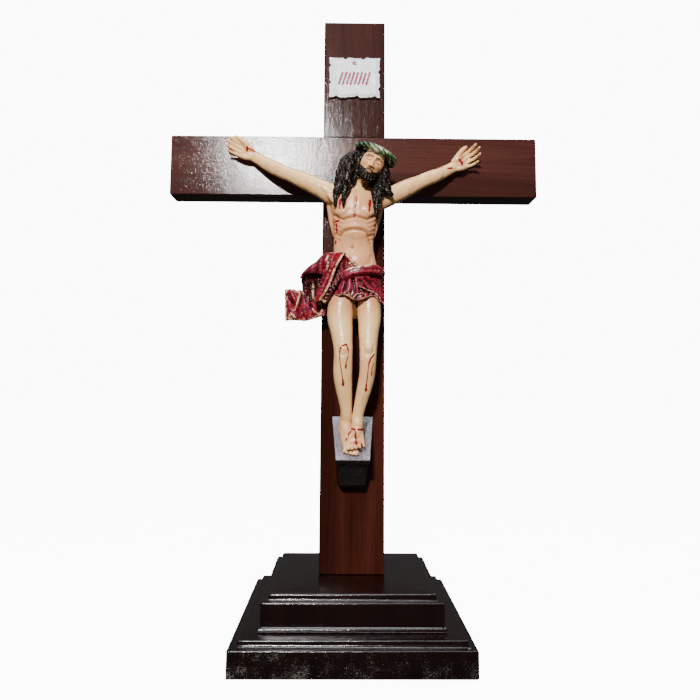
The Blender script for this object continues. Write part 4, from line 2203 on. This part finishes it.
@dataclass
class Loincloth:
    """Cloth round the hips with a band, an overlapping flap and a loose end that blows out."""

    figure: Figure
    faces_kept: int = 190000
    middle: Spot = (1.4, 20.5)
    reach: float = 20.0
    hem_line: tuple[Spot, ...] = (
        (-18.5, -110.5), (-14.1, -109), (-10.5, -110.8), (-7.6, -110.2), (-4.8, -110.6),
        (-2.7, -112.2), (-0.6, -113.8), (2, -114.6), (5, -113.9), (8.7, -112.4),
        (12, -110.4), (15, -110.6), (17.5, -113.4), (20.3, -115.2), (23.5, -113.8))
    top_line: tuple[Spot, ...] = (
        (-18, -80), (-8, -82), (-3, -86), (2, -90), (12, -89.5), (19, -88.5))
    skirt_folds: tuple[Fold, ...] = (
        Fold(((-7.4, -100.5), (-8.6, -105), (-9.8, -109)), 1.5, 1.3, rose=0.8),
        Fold(((-4.9, -96.8), (-6.6, -103), (-7.2, -107.6)), -1.7, 1.1, shade=0.8),
        Fold(((-7, -98.2), (-5.6, -96.8), (-3.8, -96.2), (-1.8, -96.8), (-0.8, -98.4)), -1.9, 1.2, shade=1),
        Fold(((-3.2, -98.8), (-3.6, -104), (-4.6, -107)), 1.5, 1.5, rose=1),
        Fold(((-0.6, -98.4), (0.2, -103), (1, -107.6)), -1.7, 0.9, shade=0.8),
        Fold(((1.4, -98.2), (2.2, -104), (2.4, -109)), 1.3, 1.1, rose=1),
        Fold(((4.5, -96.8), (8.6, -101), (12.9, -105.5)), 1.1, 0.43, gold=0.62),
        Fold(((3.6, -98.8), (7, -102.4), (10.6, -106)), -1.4, 0.8, shade=0.9),
        Fold(((8.7, -95.8), (12.6, -99), (16.6, -102.9)), 1, 0.43, gold=0.60),
        Fold(((8, -97.4), (11.6, -100.8), (15, -104.2)), -1.2, 0.7, shade=0.9),
        Fold(((14.2, -98.4), (18, -101), (20.5, -105), (22.6, -109.2)), 0.94, 0.43, gold=0.5),
        Fold(((13, -95.8), (17.4, -95.4), (21.5, -96.2)), -1.8, 1.2, shade=1),
        Fold(((16.5, -98.2), (19.2, -99.6)), 1.2, 1.6, rose=0.6),
        Fold(((-12.4, -101), (-12.6, -106)), -1.4, 1.2, shade=0.9),
        Fold(((-11.4, -110.6), (-8.6, -109.4), (-6, -107.6), (-4.2, -108), (-3.2, -111)),
             1.4, 0.68, gold=1),
        Fold(((-0.8, -112.6), (1.4, -110.4), (3.5, -109.5), (6.4, -109.1), (8.5, -109.9),
              (8.9, -111.8), (6.4, -112.9), (3.2, -113.4)), 1.3, 0.5, gold=1),
        Fold(((3, -103.6), (8.6, -105.8), (15.1, -107.9), (18.3, -110.4), (21.2, -112.9)),
             1.7, 0.56, gold=1),
        Fold(((4, -105.8), (9, -107.8), (14.2, -109.6)), -1.6, 0.8, shade=1),
        Fold(((11.8, -109.2), (13.6, -108.4)), 0.65, 0.56, gold=0.8),
        Fold(((18, -113.4), (21.6, -114.4)), 0.9, 1.2, rose=1))
    drapes: tuple[Drape, ...] = (
        # tucked end above the band
        Drape(((-9.2, -79.6, 33.5), (-7.2, -79.2, 34.4), (-5.2, -79.8, 34.4), (-1.3, -84.3, 34.2),
               (2.2, -87.6, 34)),
              ((-11, -97, 34), (-8, -96.5, 35), (-5, -95, 35.4), (0, -92.5, 35.2), (4, -91.4, 34.8)),
              (Fold(((-6.4, -79.6), (-3.4, -83), (-0.4, -86.4), (1.6, -88.2)), 1.1, 0.68, gold=1),
               Fold(((-7.9, -81), (-7.4, -85.5), (-7.6, -91)), -2.4, 1.2, shade=1),
               Fold(((-5.8, -83.5), (-4, -87), (-0.5, -88.8)), -1.4, 0.9, shade=1),
               Fold(((-6, -86), (-6.4, -90)), 0.94, 0.62, gold=0.35),
               Fold(((-3.4, -86.2), (-1.4, -88)), 0.58, 0.43, gold=0.9),
               Fold(((-8.6, -92), (-9.6, -96.5)), 1.2, 1.2, rose=0.5)),
              shade=0.45, hem=(0.6, 0, 0, 0), grid=(110, 90)),
        # strip that turns over along the flap
        Drape(((-8.8, -87, 33.8), (-11.8, -92.5, 34.2), (-15, -99, 34), (-17.6, -104.2, 33),
               (-24, -114.4, 29.6)),
              ((-8, -91, 34.4), (-9.6, -96.6, 35), (-11.8, -101, 34.6), (-15.8, -107.2, 33),
               (-21.4, -115.6, 29.6)),
              tuple(Fold(((x, up), (x + 3, up - 1.6)), 0.4, 0.6, rose=0.5)
                    for x, up in ((-16.6, -101.6), (-18, -104), (-19.4, -106.4), (-21, -108.8),
                                  (-22.6, -111.2), (-23.8, -113.2))),
              shade=0.55, hem=(0, 0.45, 0, 0.8), grid=(130, 60)),
        # flap with its broad gilt edge
        Drape(((-7.6, -78.9, 35.6), (-10.9, -85, 36.2), (-14, -91.4, 36.2), (-16.1, -98, 35.4),
               (-17.7, -102.2, 34.6), (-21.2, -108.4, 32.8), (-24.9, -114.2, 30.6)),
              ((-13.6, -78.2, 30), (-18.4, -85.6, 29), (-21.6, -92, 28.4), (-24.2, -97.6, 27.6),
               (-26, -102.4, 27), (-28, -109, 26), (-28.6, -115.4, 25.6)),
              (Fold(((-8.4, -79.8), (-11.6, -85.4), (-14.6, -91.6), (-16.8, -98), (-18.4, -102.4),
                     (-21.9, -108.6), (-25, -113.6)), 0.94, 0.53, gold=1),
               Fold(((-13.6, -86.4), (-17.4, -93.5), (-19.6, -100), (-23.6, -108)), -1.2, 1, shade=0.6),
               Fold(((-15.6, -87.4), (-19.4, -94.6), (-21.8, -101), (-25.4, -109)), 1.3, 1.5, rose=0.5),
               Fold(((-18.6, -97.6), (-20.6, -98.6)), 0.65, 0.74, gold=0.28),
               Fold(((-18.5, -89.5), (-22.2, -97), (-25, -104)), -1.6, 1, shade=0.9)),
              belly=1, grid=(170, 90)),
        # bunch at the hip, blown up and over
        Drape(((-13, -77.9, 26), (-17.2, -76.9, 24.8), (-21, -77, 23.6), (-24.6, -79, 22.6),
               (-28.4, -83, 21), (-34.4, -86.7, 18.6), (-39, -91, 16.6), (-41, -94.6, 15.4)),
              ((-13.5, -90, 30), (-18, -93, 29.6), (-22, -93.4, 29), (-26, -92.8, 27.8), (-30, -92, 26),
               (-33.5, -91.6, 24), (-36.6, -92.4, 21.6), (-39.4, -95.4, 18.4)),
              (Fold(((-19.6, -79.4), (-20.9, -83.4), (-19.4, -86.4), (-20.4, -90.4)),
                    1.2, 0.46, gold=0.95),
               Fold(((-22.6, -80), (-23, -85), (-22.4, -90)), -1.7, 1.1, shade=1),
               Fold(((-17.4, -79.5), (-18.2, -84.5), (-19, -88.6)), 0.9, 1.5, rose=0.3),
               Fold(((-16, -79.4), (-16.6, -85), (-16, -91)), 0.94, 0.5, gold=0.5),
               Fold(((-14.6, -80.4), (-15, -86), (-14.2, -92)), -1.3, 0.8, shade=0.8),
               Fold(((-25, -81.6), (-25.6, -87), (-25, -91.8)), 1.4, 1.2, rose=0.7),
               Fold(((-27.8, -84.4), (-28.4, -88), (-28, -91.4)), -1.4, 0.9, shade=0.8),
               Fold(((-31, -86), (-31.6, -89.6), (-31, -91.6)), 1.3, 1, rose=0.8),
               Fold(((-34.6, -88), (-37, -91.6)), 1, 1.2, rose=0.8)),
              belly=4.2, hem=(0.75, 0, 0, 0), shade=0.36, rose=0.3, grid=(190, 110)),
        # hollow below the bunch and the folds that fall from it
        Drape(((-22, -92, 23), (-27, -91.6, 20.6), (-31, -91.2, 18.4), (-35, -91.6, 16.4),
               (-38.6, -93.4, 14.8), (-40, -96, 14.2)),
              ((-21, -118, 21), (-25.5, -118.4, 19.4), (-29, -118.4, 18.4), (-32.5, -118.2, 17.2),
               (-35.4, -117.6, 16), (-37.6, -116.8, 14.8)),
              (Fold(((-39.4, -93.6), (-38.6, -97.4), (-36.2, -99.4), (-33, -98.6), (-30.4, -97.8)),
                    1.9, 0.9, rose=0.8),
               Fold(((-35.6, -94.6), (-31.4, -95)), -1.6, 2.2, shade=1),
               Fold(((-36.9, -100.4), (-37, -106), (-36.4, -114)), 1.3, 0.9, rose=0.5),
               Fold(((-34.6, -101), (-34.8, -108), (-34.6, -115)), -1.4, 1, shade=1),
               Fold(((-32.9, -100), (-33, -108), (-32.6, -116)), 1.2, 0.9, rose=0.4),
               Fold(((-31, -99.4), (-31.2, -105), (-30.9, -111.1), (-28.6, -113), (-26, -114.8),
                     (-24.2, -117.6)), 1.3, 0.42, gold=0.9),
               Fold(((-29.2, -98), (-29, -105), (-28.6, -110.6)), -1.8, 1, shade=1),
               Fold(((-27, -97), (-26.8, -104), (-26.2, -112)), 1.3, 1, shade=0.3),
               Fold(((-24.8, -98), (-24.6, -106), (-23.8, -113)), -1.4, 1, shade=1)),
              shade=0.72, rose=0.2, grid=(140, 140)),
        # zigzag tail
        Drape(((-52.6, -104, 13.6), (-48, -103.8, 14.6), (-43.8, -104.8, 15.4), (-40.4, -104.9, 15.8),
               (-37, -108, 16.2), (-31, -112, 17.4), (-26, -114.6, 18.4), (-21.5, -117, 19)),
              ((-52, -127.2, 12.6), (-48.6, -126.9, 14.4), (-44.4, -126.8, 14.8), (-40.8, -127.3, 16.6),
               (-36.4, -127.6, 17.6), (-31.6, -126.4, 18.2), (-26.4, -124.8, 18.6),
               (-21.2, -123.2, 18.8)),
              (Fold(((-44, -105.6), (-41.2, -105.9), (-42.3, -111.2), (-43.4, -115.6), (-44.6, -119.4)),
                    1.4, 0.42, gold=1),
               Fold(((-51, -108.4), (-47.6, -113), (-44.4, -116.8)), -1.9, 1.3, shade=1),
               Fold(((-39.6, -107.6), (-40.2, -112.4), (-41.4, -117)), -1.8, 1.3, shade=1),
               Fold(((-47.9, -106.2), (-46.2, -109.4), (-44.6, -112)), 1.5, 1.7),
               Fold(((-49.6, -112.4), (-48.6, -117.4), (-46.8, -121.8)), 1.6, 1.2, rose=0.6),
               Fold(((-45.6, -120), (-45.2, -123.6)), 1.5, 1.5, rose=1),
               Fold(((-49.8, -126.2), (-47.8, -122.2), (-44.6, -125.6)), 1.2, 0.42, gold=1),
               Fold(((-42.6, -119), (-42.4, -124), (-42.8, -127)), -2, 1.1, shade=1),
               Fold(((-40.8, -125.4), (-39.6, -122.6), (-37.4, -117.6)), 1.3, 0.5, gold=0.55),
               Fold(((-37.6, -118.6), (-36.2, -123.4)), 1.7, 1.9),
               Fold(((-35.6, -115.9), (-33.4, -119.6), (-32.2, -123)), 1, 0.46, gold=0.5, rose=0.6),
               Fold(((-33.6, -114.4), (-31.4, -118.6), (-30.6, -123.6)), -1.5, 0.9, shade=0.9),
               Fold(((-31.2, -114.6), (-29.2, -118.6)), 1.2, 1.2, rose=0.5),
               Fold(((-24.6, -116.2), (-23.8, -119.2), (-24.9, -122.7), (-26.4, -124.2), (-29.9, -121.2),
                     (-31.2, -118.6)), 1.4, 0.42, gold=1),
               Fold(((-27.2, -117.4), (-27, -120.8)), -1.7, 1.3, shade=0.8)),
              hem=(0.8, 0.75, 0.9, 0), shade=0.2, rose=0.35, grid=(230, 130)),
        # end that shows between the thighs
        Drape(((-1.6, -111, 29), (0.2, -111, 30), (2.2, -111, 29)),
              ((-0.6, -125, 22), (1, -126.4, 22.6), (2.6, -125, 22)),
              (Fold(((0.2, -113), (0, -118.4), (1.4, -124)), 0.94, 0.5, gold=0.4),
               Fold(((1.6, -114), (1.4, -119)), -0.8, 0.6, shade=0.6)),
              ochre=0.75, shade=0.3, thickness=2.4, grid=(40, 70)))

    def skirt(self) -> Shell:
        """Oval drum round the hips whose hem and top follow two lines, with folds at the front.

        Radius is an oval's plus fans of sines round it; at the front the folds of the list are
        added forward, and below the hem the drum turns in on itself.

        Returns:
            The drum as a shell, marked for its paint.
        """
        v = np.linspace(0, 1, 150)[:, None]
        around = np.linspace(0, 2 * np.pi, 460, endpoint=False)[None, :]
        facing = ease(-0.1, 0.45, np.sin(around)) + 0 * v
        rear = 1 - facing
        fan = rear * (0.9 * np.sin(around * 9 + 5.0 * v) + 0.8 * np.sin(around * 5 - 7 * v + 1.0))
        fan = fan + (0.25 + 0.3 * rear) * np.sin(around * 27 + 4 * np.sin(3 * v)) * v
        half_w = 18.6 + 2.8 * v + fan * (0.4 + v)
        half_d = 13.2 + 2.6 * v + fan * (0.4 + v)
        across, forward = self.middle
        x = across + half_w * np.cos(around)
        span = across + self.reach * np.cos(around)
        hem = facing * self.read(self.hem_line, span) + rear * (-112 - 1.5 * np.cos(around))
        top = facing * self.read(self.top_line, span) + rear * (-83.5 - 3.0 * np.cos(around))
        up = top + (hem - top) * v
        out = forward + half_d * np.sin(around)
        marks = {"gold": 0 * x, "shade": 0.35 * rear, "rose": 0.55 * facing, "ochre": 0 * x}
        for fold in self.skirt_folds:
            out = out + facing * fold.press(x, up, marks)
        marks["gold"] = np.maximum(marks["gold"] * facing, 0.85 * ease(0.962, 0.98, v) + 0 * x)
        turned_in = [np.stack((across + (x[-1] - across) * narrow,
                               forward + (out[-1] - forward) * shallow, up[-1] + rise), -1)[None]
                     for narrow, shallow, rise in ((0.93, 0.91, 0.2), (0.90, 0.88, 3.0))]
        rings = np.concatenate((np.stack((x, out, up), -1), *turned_in))
        for name, values in marks.items():
            last = np.full((len(turned_in), values.shape[1]), 1.0 if name == "shade" else 0.0)
            marks[name] = np.concatenate((values, last))
        return loft(rings, marks)

    @staticmethod
    def read(line: Rows, x: Array) -> Array:
        """Height of a line of (x, up) points at x."""
        return np.interp(x, *np.array(line).T)

    def band(self) -> Shell:
        """Band of gathered folds across the front from hip to hip.

        Its section is an oval with four shallow grooves that wind slowly round it.

        Returns:
            The band as a shell, marked for its paint.
        """
        stations = [(-13.5, 30.5, -97.5, 2.2, 2.2), (-8, 33.8, -96.4, 2.9, 2.5),
                    (-2.5, 35.2, -93.4, 3.4, 2.7), (4.5, 35.6, -91.9, 3.6, 2.7),
                    (11, 34.2, -90.9, 3.7, 2.7), (16.4, 30.8, -90.8, 3.7, 2.6),
                    (20.2, 25, -91.6, 3.3, 2.6), (20.7, 18, -92, 3, 2.6),
                    (18.6, 11.5, -92.2, 2.6, 2.6)]
        rows = through(stations, 190)
        sides = 90
        angle = np.linspace(0, 2 * np.pi, sides, endpoint=False)[None, :]
        share = np.linspace(0, 1, len(rows))[:, None]
        wind = angle + 0.8 * share
        groove = 1 + 0.11 * np.cos(4 * wind + 0.6) + 0.05 * np.cos(9 * wind - 2 * share)
        rings = along_path(rows[:, :3], rows[:, 3], rows[:, 4], sides)
        rings = rows[:, None, :3] + (rings - rows[:, None, :3]) * groove[..., None]
        around = np.arctan2(rings[..., 1] - rows[:, None, 1], rings[..., 2] - rows[:, None, 2])
        upper = np.exp(-((around - 0.55) / 0.42) ** 2)
        upper = upper * ease(0.05, 0.22, share) * ease(0.62, 0.5, share)
        second = np.exp(-((around - 1.9) / 0.22) ** 2)
        second = second * ease(0.50, 0.58, share) * ease(0.84, 0.78, share)
        third = 0.62 * np.exp(-((around - 2.5) / 0.25) ** 2)
        third = third * ease(0.02, 0.1, share) * ease(0.45, 0.35, share)
        valley = ease(0.97, 0.90, groove)
        gold = np.maximum(upper, np.maximum(second, third))
        return loft(rings, {"gold": gold, "rose": 0.35 + 0 * gold, "shade": 0.8 * valley * (1 - gold)})

    def build(self) -> None:
        """Make and dress the cloth."""
        parts = [self.skirt(), self.band()] + [drape.shell() for drape in self.drapes]
        mesh = thinned(self.figure.cast("corpus_loincloth", joined(parts), 40), self.faces_kept)
        present("corpus_loincloth", mesh, ClothPaint().make("cloth paint"), "painted_resin", "corpus")


# Studio


@dataclass(frozen=True)
class Lamp:
    """A soft box: where it stands, what it points at, its width, height and power."""

    name: str
    place: Point
    aim: Point
    size: Spot
    power: float
    colour: Colour = (1.0, 1.0, 1.0)

    def build(self) -> None:
        """Hang the lamp."""
        light = bpy.data.lights.new(self.name, "AREA")
        light.shape = "RECTANGLE"
        light.size, light.size_y = self.size
        light.energy = self.power
        light.color = self.colour
        item = bpy.data.objects.new(self.name, light)
        item.location = self.place
        item.rotation_euler = (Vector(self.aim) - Vector(self.place)).to_track_quat("-Z", "Y").to_euler()
        bpy.context.scene.collection.objects.link(item)


@dataclass
class Studio:
    """White floor and surroundings, soft boxes, and the camera at the photograph's viewpoint."""

    lamps: tuple[Lamp, ...] = (
        Lamp("key", (-0.205, -1.41, 0.88), (0.0, 0.0, 0.28), (0.13, 0.11), 37.0, (1.0, 0.985, 0.96)),
        Lamp("overhead", (0.0, -0.18, 1.35), (0.0, -0.05, 0.2), (0.6, 0.36), 9.0, (0.93, 0.95, 1.0)),
        Lamp("front veil", (-0.35, -1.9, 1.65), (0.0, 0.0, 0.4), (1.2, 0.8), 4.0, (0.92, 0.94, 1.0)),
        Lamp("rear", (0.9, 1.3, 2.0), (0.0, 0.0, 0.25), (0.8, 0.8), 16.0),
    )
    place: Point = (-0.0091, -0.5341, 0.1883)
    yaw: float = 0.0128
    pitch: float = 0.1046
    roll: float = 0.0066
    focal: float = 664.14
    picture: int = 700
    centre_row: float = 318.0
    sensor: float = 36.0
    surround: float = 0.10
    seen_surround: float = 11.0
    seen_floor: float = 11.0

    def build_camera(self) -> None:
        """The camera, from its place, its turn and its focal length in picture points."""
        ahead = Vector((math.sin(self.yaw) * math.cos(self.pitch),
                        math.cos(self.yaw) * math.cos(self.pitch), math.sin(self.pitch)))
        right = Vector((math.cos(self.yaw), -math.sin(self.yaw), 0.0))
        above = right.cross(ahead)
        rolled = math.cos(self.roll) * right + math.sin(self.roll) * above
        upright = math.cos(self.roll) * above - math.sin(self.roll) * right
        lens = bpy.data.cameras.new("photograph")
        lens.sensor_width = self.sensor
        lens.lens = self.focal / self.picture * self.sensor
        lens.shift_y = -(self.picture / 2 - self.centre_row) / self.picture
        camera = bpy.data.objects.new("photograph", lens)
        turn = Matrix((rolled, upright, -ahead)).transposed().to_4x4()
        camera.matrix_world = Matrix.Translation(self.place) @ turn
        bpy.context.scene.collection.objects.link(camera)
        bpy.context.scene.camera = camera

    def build_floor(self) -> None:
        """A wide white floor that glows to the camera alone, so that it lights nothing."""
        reach = 6.0
        corners = np.array([(-reach, -reach, 0), (reach, -reach, 0), (reach, reach, 0), (-reach, reach, 0)])
        mesh = mesh_of("floor", Shell(corners, np.array([(0, 1, 2, 3)]), np.zeros((0, 3), int)))
        material, nodes, shader = start_material("floor paper")
        seen = nodes.add("ShaderNodeLightPath").outputs["Is Camera Ray"]
        tone = nodes.span(nodes.noise(nodes.place(), 3.0), 0.3, 0.7)
        paper = nodes.blend(tone, (0.93, 0.93, 0.93), (0.97, 0.97, 0.97))
        nodes.shade(shader, base_color=nodes.blend(seen, (0.05, 0.05, 0.05), paper),
                    emission_strength=nodes.math("MULTIPLY", seen, self.seen_floor),
                    emission_color=(1.0, 1.0, 1.0), roughness=0.9, specular_ior_level=0.0)
        mesh.materials.append(material)
        floor = bpy.data.objects.new("floor", mesh)
        bpy.context.scene.collection.objects.link(floor)

    def build_surround(self) -> None:
        """White surroundings, bright to the camera and dim as light."""
        world = bpy.data.worlds.new("white surroundings")
        world.use_nodes = True
        nodes = Nodes(world.node_tree)
        background = world.node_tree.nodes["Background"]
        background.inputs["Color"].default_value = (1.0, 1.0, 1.0, 1.0)
        seen = nodes.add("ShaderNodeLightPath").outputs["Is Camera Ray"]
        strength = nodes.span(seen, 0.0, 1.0, self.surround, self.seen_surround)
        nodes.feed(background.inputs["Strength"], strength)
        bpy.context.scene.world = world

    def build(self) -> None:
        """Set up camera, floor, surroundings and lamps."""
        self.build_camera()
        self.build_floor()
        self.build_surround()
        for lamp in self.lamps:
            lamp.build()
        log.info("studio: %d lamps", len(self.lamps))


def main() -> None:
    """Build the studio, then dress and make the pieces in order."""
    logging.basicConfig(level=logging.INFO, format="%(name)s: %(message)s")
    effects = Effects()
    Studio().build()
    Base().build(effects)
    Cross().dress(effects)
    TitlePlate().build()
    figure = Figure()
    Body(figure).build(effects)
    head = Head(figure)
    head.build()
    Hair(head).build()
    Crown(head).build()
    Loincloth(figure).build()


if __name__ == "__main__":
    main()
